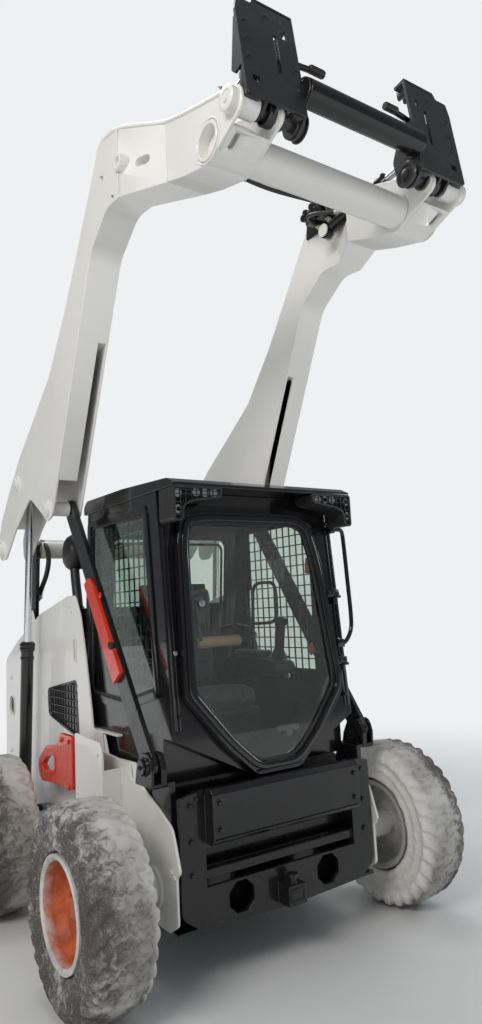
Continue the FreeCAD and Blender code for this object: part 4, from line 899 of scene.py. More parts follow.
class LOADER_OT_wheels(bpy.types.Operator):
    """Chewed block tyres, wheel nuts and hub caps"""

    bl_idname = "loader.wheels"
    bl_label = "Wheels"

    def execute(self, context):
        tyre = self.tyre()
        for index, wheel in enumerate(WHEELS):
            low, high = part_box(wheel + "_tyre")
            middle = (low + high) / 2
            self.mount_tyre(tyre, wheel, middle, index)
            self.fastenings(wheel, middle)
        drop(tyre)
        return {"FINISHED"}

    def tyre(self):
        """The tyre about the x axis: its outer face looks to +x."""
        half = [(0, 400), (34, 399.5), (62, 398), (84, 396), (97, 393), (108, 388), (118, 380), (127, 369),
                (134, 356), (138, 343), (136, 332), (129, 324), (126, 312), (128, 300), (132, 288),
                (130, 276), (124, 268), (125, 256), (129, 246), (128, 234), (122, 224), (117, 215)]
        profile = half + [(0, 215)] + [(-a, r) for a, r in reversed(half)][:-1]
        steps = 288
        made = turned(profile, (0, 0, 0), (1, 0, 0), steps, 60)
        lug = steps // 32

        def in_groove(face):
            across = abs(face.center.x) * 1000.0
            radius = math.hypot(face.center.y, face.center.z) * 1000.0
            if radius < 345 or not 52 < across < 139:
                return False
            turn = math.atan2(face.center.z, face.center.y) / math.tau * steps
            shift = (across - 50) * 0.10 + (4.5 if face.center.x < 0 else 0.0)
            return (turn + shift) % lug < (1.4 if across > 95 else 0.9)

        pick(made, "FACE", in_groove)
        bpy.ops.transform.shrink_fatten(value=-0.011)
        bpy.ops.object.mode_set(mode="OBJECT")
        apply_modifier(made, "SUBSURF", levels=1, render_levels=1)
        return made

    def mount_tyre(self, tyre, wheel, middle, index):
        outer = 1.0 if middle.x > 0 else -1.0
        piece = bpy.data.objects.new("tyre", tyre.data.copy())
        bpy.context.scene.collection.objects.link(piece)
        face_out = Matrix.Identity(4) if outer > 0 else Matrix.Rotation(math.pi, 4, "Z")
        piece.matrix_world = (Matrix.Translation(middle) @ Matrix.Rotation(1.3 * index + 0.4, 4, "X")
                              @ face_out)
        settle(piece)
        for title, scale, strength, level in (("dents", 0.085, 0.011, 0.72), ("chew", 0.024, 0.007, 0.66)):
            noise_map = bpy.data.textures.new(title, "CLOUDS")
            noise_map.noise_scale = scale
            noise_map.noise_depth = 3
            apply_modifier(piece, "DISPLACE", texture=noise_map, texture_coords="LOCAL",
                           strength=strength, mid_level=level)
        smooth(piece, 60)
        finish_piece(piece, wheel + "_worn_tyre", BODY_OF[wheel + "_tyre"], "tyre")
        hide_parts(wheel + "_tyre")

    def fastenings(self, wheel, middle):
        """Eight nuts on studs, a hub cap and a valve."""
        outer = 1.0 if middle.x > 0 else -1.0
        body = BODY_OF[wheel + "_rim"]
        way = Vector((outer, 0, 0))

        def spot(out, radius, turn):
            return middle + Vector((outer * out * MM, radius * MM * math.cos(turn),
                                    radius * MM * math.sin(turn)))

        nut = hex_bolt(14, 15)
        stud = turned(disc(8, 24, 26, 6), ORIGIN, UP, 16)
        both = joined([nut, stud])
        nuts = copied(both, [(spot(16.5, 103, math.tau * k / 8 + 0.2), way) for k in range(8)])
        finish_piece(nuts, wheel + "_wheel_nuts", body, "rim_paint", "dish_paint")
        drop(both)
        cap = turned([(-8, 0), (-8, 58), (14, 58), (20, 54), (22, 46), (36, 44), (42, 38), (44, 0)],
                     middle + way * 0.020, way, 40)
        finish_piece(cap, wheel + "_hub_cap", body, "rim_paint", "dish_paint")
        valve = turned([(0, 0), (0, 6), (16, 6), (18, 4), (30, 4), (31, 0)], spot(44, 168, 2.1), (outer, 0,
                                                                                                  -0.3), 12)
        finish_piece(valve, wheel + "_valve", body, "tyre", "hose_rubber")


class LOADER_OT_windows(bpy.types.Operator):
    """Raised window frames, rubber seals, the door's bead and gasket"""

    bl_idname = "loader.windows"
    bl_label = "Windows and door"

    def execute(self, context):
        seal = context.scene.loader_trim.seal * 1000.0
        frame_ring = ring(eased(moved_in(SIDE_WINDOW, -38), 60, 6), 0, 499, 9, 40, 5, 3)
        rubber = ring(eased(moved_in(SIDE_WINDOW, -2), 50, 6), 0, 490, 12, 15, seal * 0.4, 3)
        body = BODY_OF["cab_shell"]
        for piece, title, slot, finish in ((frame_ring, "side_window_frame", "cab_paint", None),
                                           (rubber, "side_window_seal", "black_plastic", "hose_rubber")):
            finish_pair(piece, title, body, slot, finish)
        back = ring(oblong((-352, 352), (1308, 1922), 50, 6), 1, 0, 10, 14, 3)
        back.matrix_world = (Matrix.Translation(at(0, 846, 1012)) @ Matrix.Rotation(math.radians(6.1), 4, "X")
                             @ Matrix.Translation(-at(0, 0, 1012)))
        settle(back)
        finish_piece(back, "rear_window_seal", body, "black_plastic", "hose_rubber")
        self.door(BODY_OF["door_frame"])
        self.pillar(body)
        return {"FINISHED"}

    def door(self, body):
        bead = leaned(ring(eased(moved_in(DOOR, 16), 40, 6), 1, -55, 12, 30, 5, 3))
        finish_piece(bead, "door_bead", body, "cab_paint")
        gasket = leaned(ring(eased(moved_in(DOOR, 50), 30, 6), 1, -40, 10, 12, 3, 3))
        finish_piece(gasket, "door_gasket", body, "black_plastic", "hose_rubber")
        inner = leaned(ring(eased(moved_in(DOOR, 14), 30, 6), 1, -6, 7, 26, 2, 2))
        finish_piece(inner, "door_inner_seal", body, "black_plastic", "hose_rubber")
        knob = turned([(0, 0), (0, 15), (7, 15), (9, 11), (16, 11), (19, 9), (20, 0)], at(-330, -33, 1558),
                      (0, -1, 0), 28)
        plate_back = plate(oblong((-352, -310), (1470, 1592), 16), 1, -22, 9, 2.5)
        grip = rod([(-330, -8, 1560), (-330, 24, 1552), (-328, 34, 1500), (-320, 30, 1440), (-312, 26, 1395)],
                   9)
        handle = leaned(joined([plate_back, grip]))
        finish_piece(handle, "door_handle", body, "black_plastic")
        finish_piece(leaned(knob), "door_lock_barrel", body, "black_paint", "zinc_steel")
        latch = [plate(oblong((28, 150), (962, 988), 8), 1, -20, 8, 2), rod([(44, -8, 975), (44, 12, 977),
                                                                             (60, 18, 978), (120, 18, 978),
                                                                             (134, 12, 977), (134, -8, 975)],
                                                                            5), plate(oblong((70, 108), (940,
                                                                                                         962),
                                                                                             6), 1, -20, 6,
                                                                                      1.5)]
        finish_piece(leaned(joined(latch)), "door_foot_latch", body, "black_plastic")
        blocks = []
        for z in (1230, 1560):
            blocks.append(box_piece((392, 470), (-50, -24), (z + 2, z + 38), 3))
            blocks.append(box_piece((436, 474), (-56, -14), (z - 6, z + 8), 3))
        heads = bolt_heads(6, 6, [(at(x, -50, z + 20), AHEAD) for z in (1230, 1560) for x in (404, 424)])
        finish_piece(leaned(joined(blocks)), "door_hinge_blocks", body, "black_paint")
        finish_piece(leaned(heads), "door_hinge_bolts", body, "black_paint")
        rail = box_piece((-120, 120), (-60, -45), (812, 822), 2)
        finish_piece(leaned(rail), "door_drip_rail", body, "cab_paint")

    def pillar(self, body):
        """The doubled rib down the pillar beside the door, and its bolt."""
        ribs = []
        for x, width in ((-492, 15), (-470, 11)):
            ribs.append(plate(oblong((x, x + width), (1030, 1990), 5), 1, -5, 9, 2))
        both = leaned(joined(ribs))
        finish_pair(both, "pillar_ribs", body, "cab_paint", sides=("right", "left"))
        for name, heights, finish in (("pillar_bolts", (1350,), "zinc_steel"), ("pillar_screws", (1085, 1940),
                                                                                None)):
            heads = leaned(bolt_heads(7, 7, [(at(sign * 463, -8, z),
                                              AHEAD) for sign in SIDES for z in heights]))
            finish_piece(heads, name, body, "black_paint", finish)


class LOADER_OT_lamps(bpy.types.Operator):
    """Wire grids and reflectors of the corner lamps, and the grab bar"""

    bl_idname = "loader.lamps"
    bl_label = "Lamps and grab bar"

    def execute(self, context):
        wires = []
        for x in range(276, 500, 28):
            low = 1912 if x > 462 else (1990 if x > 420 else 2012)
            wires.append(rod([(x, -210, low), (x, -210, 2054)], 2.0, sides=1))
        for z in (2026, 2044):
            wires.append(rod([(262, -210, z), (503, -210, z)], 2.0, sides=1))
        for z in (1935, 1962, 1990):
            wires.append(rod([(460, -210, z), (503, -210, z)], 2.0, sides=1))
        wires.append(ring(eased(LAMP_OUTLINE, 20, 4), 1, -213, 14, 9, 3))
        grid = joined(wires)
        body = BODY_OF["lamp_housings"]
        finish_pair(grid, "lamp_grid", body, "black_plastic")
        bowl = [(0, 0), (-3, 4), (-6, 14), (-3, 17), (-1, 19), (0, 19)]
        bulbs = []
        for x, z in ((300, 2036), (345, 2036), (390, 2036), (482, 2030), (482, 1960)):
            for sign in SIDES:
                bulbs.append(turned(bowl, at(sign * x, -207, z), AHEAD, 24))
        finish_piece(bulbs, "lamp_reflectors", body, "chrome_rod")
        points = [(484, -62, 1904), (500, -80, 1906), (548, -86, 1906), (556, -86, 1880), (566, -88, 1640),
                  (573, -92, 1441), (560, -94, 1380), (514, -98, 1329), (480, -92, 1331), (454, -86, 1332)]
        bar = rod(points, 11)
        feet = [box_piece((440, 486), (-128, -80), (1312, 1352), 4), box_piece((470, 500), (-92, -50), (1886,
                                                                                                        1924),
                                                                               4)]
        handle = joined([bar] + feet)
        finish_piece(handle, "bent_grab_bar", BODY_OF["grab_bar"], SLOT_OF["grab_bar"])
        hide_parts("grab_bar")
        return {"FINISHED"}


class LOADER_OT_seat(bpy.types.Operator):
    """Sprung seat with cushions, arm rests, lap bar and control levers"""

    bl_idname = "loader.seat"
    bl_label = "Seat and controls"

    def execute(self, context):
        body = BODY_OF["seat"]
        cushion = self.cushion()
        finish_piece(cushion, "seat_cushion", body, "seat_fabric")
        back = self.back()
        finish_piece(back, "seat_back_cushion", body, "seat_fabric")
        shell = joined([box_piece((-232, 232), (278, 704), (990, 1024), 8, 3), box_piece((-190, 190), (320,
                                                                                                       690),
                                                                                         (836, 990), 10, 3),
                        plate(eased([(706, 1060), (752, 1640), (736, 1680), (722, 1680), (690, 1070)], 10), 0,
                              -200, 400, 6, 3)])
        finish_piece(shell, "seat_shell", body, "seat_fabric", "black_plastic")
        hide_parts("seat")
        self.levers(BODY_OF["consoles"])
        self.lap_bar(body)
        return {"FINISHED"}

    def cushion(self):
        piece = plate(eased([(276, 1026), (262, 1072), (280, 1112), (330, 1120), (610, 1098), (668, 1086),
                             (668, 1026)], 20, 5), 0, -212, 424, 14, 3)
        stuffed(piece)
        top = at(0, 0, 1060).z

        def seams(place):
            if place.z < top:
                return None
            across = min(abs(abs(place.x) - 0.135), abs(place.y - at(0, 400, 0).y),
                         abs(place.y - at(0, 500, 0).y) if abs(place.x) < 0.135 else 1.0)
            return across * 1000.0

        sewn(piece, seams)
        return smooth(piece, 60)

    def back(self):
        piece = plate(eased([(600, 1110), (632, 1600), (650, 1648), (676, 1664), (706, 1650), (712, 1600),
                             (686, 1110)], 20, 5), 0, -190, 380, 14, 3)
        stuffed(piece)

        def seams(place):
            if place.y > at(0, 660, 0).y:
                return None
            across = min(abs(abs(place.x) - 0.125),
                         min(abs(place.z - z) for z in (1.25, 1.37, 1.49)) if abs(place.x) < 0.125 else 1.0)
            return across * 1000.0

        sewn(piece, seams)
        return smooth(piece, 60)

    def levers(self, body):
        parts, boots = [], []
        for sign in SIDES:
            bellows = [(0, 0), (0, 46), (8, 48)]
            for k in range(5):
                bellows += [(12 + 12 * k, 42 - 5 * k), (18 + 12 * k, 37 - 5 * k), (21 + 12 * k, 41 - 5 * k)]
            bellows += [(76, 14), (80, 12), (80, 0)]
            boots.append(turned(bellows, at(sign * 327, 222, 1258), (0, -0.12, 1), 28))
            grip = turned([(0, 0), (0, 15), (10, 19), (40, 22), (70, 20), (95, 24), (118, 30), (134, 29),
                           (146, 20), (150, 0)], at(sign * 327, 212, 1330), (0, -0.22, 1), 28)
            apply_modifier(grip, "SUBSURF", levels=1, render_levels=1)
            thumb = box_piece((sign * 327 - 17, sign * 327 + 17), (146, 168), (1430, 1466), 5, 2, 12)
            knobs = [turned([(0, 0), (0, 5), (5, 5), (6, 0)], at(sign * 327 + dx, 148, 1450), (0, -1, 0.3),
                            14) for dx in (-8, 8)]
            trigger = box_piece((sign * 327 - 6, sign * 327 + 6), (158, 176), (1392, 1420), 4, 2, 12)
            parts += [grip, thumb, trigger] + knobs
        finish_piece(boots, "lever_boots", body, "black_plastic", "hose_rubber")
        finish_piece(parts, "lever_grips", body, "black_plastic")
        rests = []
        for sign in SIDES:
            rests.append(box_piece((sign * 327 - 38, sign * 327 + 38), (330, 600), (1264, 1300), 14, 4))
        rests = joined(rests)
        finish_piece(rests, "arm_rests", body, "seat_fabric")
        switches = []
        for sign in SIDES:
            for k in range(3):
                switches.append(box_piece((sign * 378 - 8, sign * 378 + 8), (200 + 34 * k, 222 + 34 * k),
                                          (1258, 1270), 2, 2, 8 - 8 * k))
        finish_piece(switches, "console_switches", body, "black_plastic")

    def lap_bar(self, body):
        bars = [rod([(250 * sign, 640, 1420), (268 * sign, 560, 1440), (268 * sign, 420, 1430), (262 * sign,
                                                                                                 330, 1390),
                     (230 * sign, 292, 1370), (120 * sign, 286, 1366), (0, 286, 1366)], 12) for sign in SIDES]
        finish_piece(bars, "lap_bar", body, "black_plastic", "black_paint")
        pad = turned([(0, 0), (0, 22), (6, 27), (14, 28), (246, 28), (254, 27), (260, 22), (260, 0)],
                     at(-130, 286, 1366), (1, 0, 0), 28)
        finish_piece(pad, "lap_pad", body, "seat_fabric", "straw_foam")
        loop = rod([(400, 560, 1270), (404, 548, 1400), (404, 540, 1600), (404, 520, 1660), (404, 420, 1668),
                    (404, 340, 1660), (404, 318, 1620), (404, 316, 1500), (404, 330, 1450), (404, 420, 1440),
                    (404, 540, 1440)], 10)
        finish_piece(loop, "arm_loop", body, "black_plastic", "black_paint")
        tags = [box_piece((416, 424), (36, 70), (1690, 1770), 2, 2, 8), box_piece((408, 416), (30, 74), (1278,
                                                                                                         1330),
                                                                                  2, 2, -30)]
        finish_piece(tags, "belt_tags", BODY_OF["cab_shell"], "red_paint", "orange_tag")


class LOADER_OT_arms(bpy.types.Operator):
    """Cross tubes, lips, welds, caps, bolts and hoses of the lift arms"""

    bl_idname = "loader.arms"
    bl_label = "Arms"

    def execute(self, context):
        body = BODY_OF["arm_uprights"]
        self.tubes(BODY_OF["cross_tubes"])
        lips, beads, caps = [], [], []
        for sign in SIDES:
            edge = [(710, 30, 3652), (714, -30, 3684), (716, -110, 3665), (716, -206, 3646), (664, -310,
                                                                                              3612), (602,
                                                                                                      -424,
                                                                                                      3574),
                    (600, -470, 3557), (600, -540, 3528), (600, -700, 3472), (600, -870, 3416), (600, -934,
                                                                                                 3392)]
            lips.append(rod([(sign * x, y, z) for x, y, z in edge], 8))
            beads.append(weld([(sign * 717, -203, 3340), (sign * 717, -203, 3450), (sign * 717, -203, 3640)],
                              3))
            beads.append(weld([(sign * 601, -430, 3306), (sign * 601, -430, 3420), (sign * 601, -430, 3566)],
                              3))
            beads.append(weld(circle_points((sign * 602, *CROSS_TUBE), 0, 86), 4, True))
            caps.append(turned([(-17, 0), (-17, 46), (3, 46), (7, 43), (9, 38), (9, 30), (4, 27), (4, 17),
                                (11, 14), (12, 0)], at(sign * 628, *CARRIER_PIN), (sign, 0, 0), 36))
            caps.append(turned(disc(26, 4, 7, 22), at(sign * 728, *CONTROL_PIN), (sign, 0, 0), 28))
            caps.append(turned(disc(30, 5, 8, 26), at(sign * 728, *REAR_PIN), (sign, 0, 0), 28))
            caps.append(turned(disc(26, 5, 8, 22), at(sign * 728, *LIFT_PIN), (sign, 0, 0), 28))
        finish_piece(lips, "arm_lips", body, "white_paint")
        finish_piece(beads, "arm_welds", body, "white_paint")
        finish_piece(caps, "arm_pin_caps", body, "white_paint")
        self.keepers(body)
        self.nose_ends(body)
        self.hoses(body)
        return {"FINISHED"}

    def tubes(self, body):
        front = turned([(-560, 0), (-560, 62), (-606, 62), (-608, 64), (-608, 73), (-606, 75), (606, 75),
                        (608, 73), (608, 64), (606, 62), (560, 62), (560, 0)], at(0, *CROSS_TUBE), (1, 0, 0),
                       64)
        finish_piece(front, "front_cross_tube", body, "white_paint")
        rear = turned([(-556, 0), (-556, 24), (-554, 26), (-488, 26), (-488, 56), (-486, 58), (486, 58), (488,
                                                                                                          56),
                       (488, 26), (554, 26), (556, 24), (556, 0)], at(0, *REAR_PIN), (1, 0, 0), 48)
        finish_piece(rear, "rear_cross_tube", body, "white_paint")
        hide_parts("cross_tubes")
        beads = [weld(circle_points((sign * 406, *CROSS_TUBE), 0, 77), 4, True) for sign in SIDES]
        finish_piece(beads, "tube_welds", body, "white_paint")

    def keepers(self, body):
        """Keeper plates with a bolt beside the pins, and grease fittings."""
        plates, bolts, nipples = [], [], []
        nipple = turned([(0, 0), (0, 6), (5, 6), (6, 4), (11, 3), (13, 4), (15, 2), (15, 0)], ORIGIN, UP, 12)
        for sign in SIDES:
            start, depth = (716, 6) if sign > 0 else (-722, 6)
            for y, z, dy, dz in ((1250, 2310, 44, 8), (1550, 1955, 20, 48)):
                plates.append(plate(oblong((y + dy - 16, y + dy + 22), (z + dz - 13, z + dz + 13), 8), 0,
                                    start, depth, 1.5))
                bolts.append((at(sign * 722, y + dy + 6, z + dz), (sign, 0, 0)))
            for x, y, z in ((716, -40, 3500), (716, -150, 3350), (600, -858, 3440)):
                nipples.append((at(sign * x, y, z), (sign, 0, 0)))
        finish_piece(plates, "pin_keepers", body, "white_paint")
        finish_piece(bolt_heads(10, 8, bolts), "keeper_bolts", body, "white_paint")
        finish_piece(copied(nipple, nipples), "grease_fittings", body, "white_paint", "zinc_steel")
        drop(nipple)

    def nose_ends(self, body):
        """The closed lower end of each nose, with its slot."""
        covers = []
        for x in (-588, 422):
            cover = plate([(-905, 3262), (-897, 3276), (-790, 3234), (-790, 3217)], 0, x, 166, 1.0)
            middle = 552 if x > 0 else -552
            slot = plate(eased([(middle - 13, -888), (middle - 13, -818), (middle + 13, -818), (middle + 13,
                                                                                                -888)], 12,
                               5), 2, 3190, 110, 0)
            covers.append(carve(cover, slot))
        finish_piece(covers, "nose_end_plates", body, "white_paint")

    def hoses(self, body):
        hose("tube_hose", [(-408, -655, 3268), (-370, -652, 3266), (-300, -650, 3262), (-200, -648, 3262),
                           (0, -652, 3276), (200, -654, 3290), (340, -652, 3290), (408, -640, 3300)], 9, body)
        block = [box_piece((462, 548), (-236, -60), (3578, 3650), 6, 3), box_piece((470, 540), (-200, -90),
                                                                                   (3650, 3678), 4, 2),
                 plate(eased([(-300, 3560), (-300, 3690), (-250, 3720), (20, 3700), (40, 3560)], 14), 0, 548,
                       8, 2)]
        finish_piece(block, "coupler_block", body, "black_paint")
        caps = []
        for k, (y, z) in enumerate(((-205, 3620), (-160, 3632), (-112, 3620), (-185, 3596), (-135, 3596),
                                    (-90, 3600))):
            caps.append(turned([(0, 0), (0, 19), (18, 19), (20, 16), (24, 16), (26, 20), (44, 20), (47, 17),
                                (47, 0)], at(462, y, z), (-1, -0.1 * (k % 2), -0.15), 20))
        finish_piece(caps, "coupler_fittings", body, "black_paint")
        routes = (((540, -90, 3672), (530, -92, 3720), (500, -150, 3764), (486, -250, 3770), (484, -330,
                                                                                              3720), (486,
                                                                                                      -372,
                                                                                                      3640),
                   (486, -380, 3560)), ((544, -150, 3668), (534, -156, 3730), (520, -220, 3780), (512, -310,
                                                                                                  3762), (508,
                                                                                                          -380,
                                                                                                          3690),
                                        (504, -420, 3600), (500, -430, 3540)), ((540, -110, 3560), (450, -116,
                                                                                                    3568),
                                                                                (384, -160, 3560), (372, -250,
                                                                                                    3530),
                                                                                (400, -330, 3500), (444, -380,
                                                                                                    3500)),
                  ((540, -190, 3560), (440, -200, 3590), (372, -260, 3600), (362, -350, 3566), (386, -430,
                                                                                                3530), (424,
                                                                                                        -480,
                                                                                                        3500)))
        for k, route in enumerate(routes):
            hose("coupler_hose_%d" % (k + 1), route, 10, body)


class LOADER_OT_carrier(bpy.types.Operator):
    """Lock parts, bearing rings, welds and bolts of the tool carrier"""

    bl_idname = "loader.carrier"
    bl_label = "Tool carrier"

    def execute(self, context):
        body = BODY_OF["carrier_plates"]
        lean = math.radians(7.6)
        hinge = at(0, *CARRIER_PIN)
        turn = Matrix.Translation(hinge) @ Matrix.Rotation(-lean, 4, "X") @ Matrix.Translation(-hinge)
        foot, face = 3326, -992
        parts, rings, bolts, beads, handles = [], [], [], [], []
        for sign in SIDES:
            def span(a, b, sign=sign):
                return (min(sign * a, sign * b), max(sign * a, sign * b))
            parts.append(box_piece(span(318, 498), (face - 12, face + 44), (foot + 440, foot + 464), 4, 2))
            for x in (336, 372, 410, 452, 486):
                parts.append(box_piece(span(x - 8, x + 8), (face, face + 54), (foot + 404, foot + 448), 4, 2))
            parts.append(box_piece(span(352, 430), (face + 2, face + 40), (foot + 60, foot + 240), 5, 2))
            parts.append(box_piece(span(374, 408), (face - 2, face + 52), (foot + 40, foot + 330), 6, 2))
            parts.append(box_piece(span(520, 586), (face + 2, face + 34), (foot + 2, foot + 118), 10, 3))
            parts.append(box_piece(span(326, 372), (face - 2, face + 30), (foot - 8, foot + 30), 6, 2))
            handles.append(turned([(-6, 0), (-6, 15), (0, 17), (60, 17), (66, 14), (66, 0)],
                                  at(sign * 176, face + 6, 3598), (sign, 0, 0), 24))
            rings.append(turned([(0, 22), (0, 56), (5, 56), (8, 52), (8, 40), (4, 37), (4, 30), (9, 28), (9,
                                                                                                          22)],
                                at(sign * 297, *CARRIER_PIN), (-sign, 0, 0), 36))
            rings.append(turned(disc(20, 14, 16, 16), at(sign * 297, *CARRIER_PIN), (-sign, 0, 0), 28))
            rings.append(turned([(-10, 40), (-10, 46), (28, 46), (30, 43), (30, 40)], at(sign * 436,
                                                                                         *CARRIER_PIN), (sign,
                                                                                                         0,
                                                                                                         0),
                                36))
            beads.append(weld(circle_points((sign * 311, -990, 3450), 0, 54), 4, True))
            for x, z in ((340, 100), (340, 200), (560, 330), (560, 250), (560, 170), (452, 400)):
                bolts.append((at(sign * x, face - 12, foot + z), AHEAD))
        everything = ((parts, "carrier_lock_parts", "carrier_paint", None), (rings, "bearing_rings",
                                                                             "carrier_paint", None), (beads,
                                                                                                      "carrier_welds",
                                                                                                      "carrier_paint",
                                                                                                      None),
                      (handles, "lever_sleeves", "black_plastic", "hose_rubber"), ([bolt_heads(9, 8, bolts)],
                                                                                   "carrier_bolts",
                                                                                   "carrier_paint", None))
        for items, title, slot, finish in everything:
            piece = joined(items)
            piece.data.transform(turn)
            finish_piece(piece, title, body if title != "lever_sleeves" else BODY_OF["lock_levers"], slot,
                         finish)
        return {"FINISHED"}


class LOADER_OT_body(bpy.types.Operator):
    """Grille meshes, bolts, ledges, duct, tail lamps, louvres, roof ribs and cylinder parts"""

    bl_idname = "loader.body"
    bl_label = "Frame and rear"

    def execute(self, context):
        self.grilles()
        self.bolts()
        self.front()
        self.duct()
        self.rear()
        self.roof()
        self.links()
        self.cylinders()
        return {"FINISHED"}

    def grilles(self):
        """Wire mesh in the tower openings, in front of the sheet."""
        body = BODY_OF["tower_grilles"]
        outline = [(805, 904), (834, 1194), (1260, 1127), (1248, 990)]

        def low(y):
            return 904 + (y - 805) * 86 / 443

        def high(y):
            return 1194 - (y - 834) * 67 / 426

        wires = []
        for y in range(845, 1245, 40):
            wires.append(rod([(541, y, low(y)), (541, y, high(y))], 3, sides=1))
        for z in range(930, 1190, 40):
            ends = [y for y in range(812, 1256, 4) if low(y) <= z <= high(y)]
            wires.append(rod([(544, ends[0], z), (544, ends[-1], z)], 3, sides=1))
        wires.append(ring(eased(moved_in(outline, -6), 30, 5), 0, 545, 4, 12, 1.5))
        finish_pair(joined(wires), "tower_mesh", body, "black_paint")

    def bolts(self):
        body = BODY_OF["frame_sides"]
        spots = []
        for sign in SIDES:
            for y, z in ((-156, 496), (700, 420), (900, 420), (1700, 560), (1960, 1160), (1960, 700), (880,
                                                                                                       1560),
                         (910, 1590)):
                spots.append((at(sign * 545, y, z), (sign, 0, 0)))
            for y, z in ((340, 690), (340, 900), (590, 690)):
                spots.append((at(sign * 640, y, z), (sign, 0, 0), 0.8))
        finish_piece(bolt_heads(11, 9, spots), "side_bolts", body, "white_paint")
        trims = []
        for x, depth in ((545, 6), (-551, 6)):
            trims.append(ring(oblong((818, 858), (1292, 1418), 20, 5), 0, x, depth, 8, 2))
            trims.append(ring(oblong((1892, 1993), (922, 1048), 46, 6), 0, x, depth, 9, 2))
            trims.append(plate(oblong((-188, -90), (470, 486), 5), 0, x, depth * 3, 2))
        for x in (-531, 525):
            trims.append(plate(eased([(60, 780), (60, 846), (183, 869), (470, 862), (509, 952), (530, 958),
                                      (530, 780)], 10), 0, x, 6, 1.5))
        finish_piece(trims, "side_trims", body, "white_paint")
        beads = [weld([(sign * 551, 302, 655), (sign * 551, 302, 740), (sign * 551, 302, 824)],
                      4) for sign in SIDES]
        beads += [weld([(sign * 551, 640, 655), (sign * 551, 648, 740), (sign * 551, 640, 824)],
                       4) for sign in SIDES]
        finish_piece(beads, "side_welds", body, "white_paint")
        hooks = []
        for sign in SIDES:
            x = 626 if sign > 0 else -656
            hooks.append(ring(eased([(858, 742), (860, 842), (900, 842), (1012, 812), (1076, 762), (1062,
                                                                                                    744),
                                     (1010, 720)], 24, 5), 0, x, 30, 13, 4, 3))
        pegs = [(at(sign * 652, y, z), (sign, 0, 0)) for sign in SIDES for y, z in ((676, 700), (770, 916),
                                                                                    (676, 916))]
        finish_piece(hooks, "hook_rims", BODY_OF["tie_down_hooks"], "red_paint")
        finish_piece(bolt_heads(12, 9, pegs), "hook_bolts", BODY_OF["tie_down_hooks"], "red_paint")

    def front(self):
        body = BODY_OF["front_plate"]
        spots = [(at(sign * x, -190, z), AHEAD) for sign in SIDES
                 for x, z in ((470, 740), (470, 600), (470, 470), (440, 762))]
        spots += [(at(sign * 368, -255, z), AHEAD) for sign in SIDES for z in (640, 745)]
        finish_piece(bolt_heads(12, 9, spots), "front_bolts", body, "black_paint")
        trims = []
        for sign in SIDES:
            trims.append(weld([(sign * 402, -192, 586), (sign * 402, -192, 680), (sign * 402, -192, 772)], 4))
        trims.append(box_piece((-392, 392), (-262, -254), (600, 606), 1.5))
        trims.append(turned(disc(26, 10, 14, 20), at(0, -230, 374), UP, 24))
        trims.append(ring(oblong((-40, 40), (276, 332), 10, 4), 1, -268, 6, 10, 2))
        finish_piece(trims, "front_trims", body, "black_paint")

    def duct(self):
        """Air intake bowl at the cab's rear corner, its duct, and the loops of hose beside it."""
        body = BODY_OF["air_duct"]
        bowl = turned([(0, 0), (0, 96), (14, 102), (40, 100), (64, 84), (78, 60), (84, 30), (86, 0)],
                      at(-452, 1010, 1885), (-1, 0.25, 0.05), 40)
        back = plate(eased([(930, 1790), (930, 1980), (1080, 1990), (1080, 1790)], 20), 0, -456, 12, 3)
        stay = rod([(-450, 960, 1830), (-440, 905, 1800), (-430, 840, 1770)], 14)
        elbow = rod([(-478, 1000, 1810), (-480, 985, 1740), (-486, 950, 1660), (-490, 925, 1590), (-490, 915,
                                                                                                   1545)], 26,
                    sides=5)
        bands = [turned([(-7, 24), (-7, 30), (7, 30), (7, 24)], at(-478, 1000, 1800), (0, -0.2, -1), 28),
                 turned([(-7, 24), (-7, 30), (7, 30), (7, 24)], at(-490, 918, 1570), (0, -0.2, -1), 28)]
        finish_piece(joined([bowl, back, stay, elbow] + bands), "air_intake", body, "black_plastic")
        bottle = turned([(0, 0), (0, 54), (8, 60), (110, 60), (124, 48), (132, 30), (150, 28), (156, 30),
                         (164, 0)], at(-430, 1560, 1400), UP, 32)
        finish_piece(bottle, "header_bottle", body, "white_paint", "milky_plastic")
        link = BODY_OF["rear_links"]
        hose("link_hose", [(-496, 1556, 1985), (-478, 1530, 1992), (-462, 1480, 1960), (-460, 1462, 1880),
                           (-464, 1500, 1790), (-470, 1560, 1730), (-480, 1590, 1670), (-497, 1592, 1640)],
             15, link)

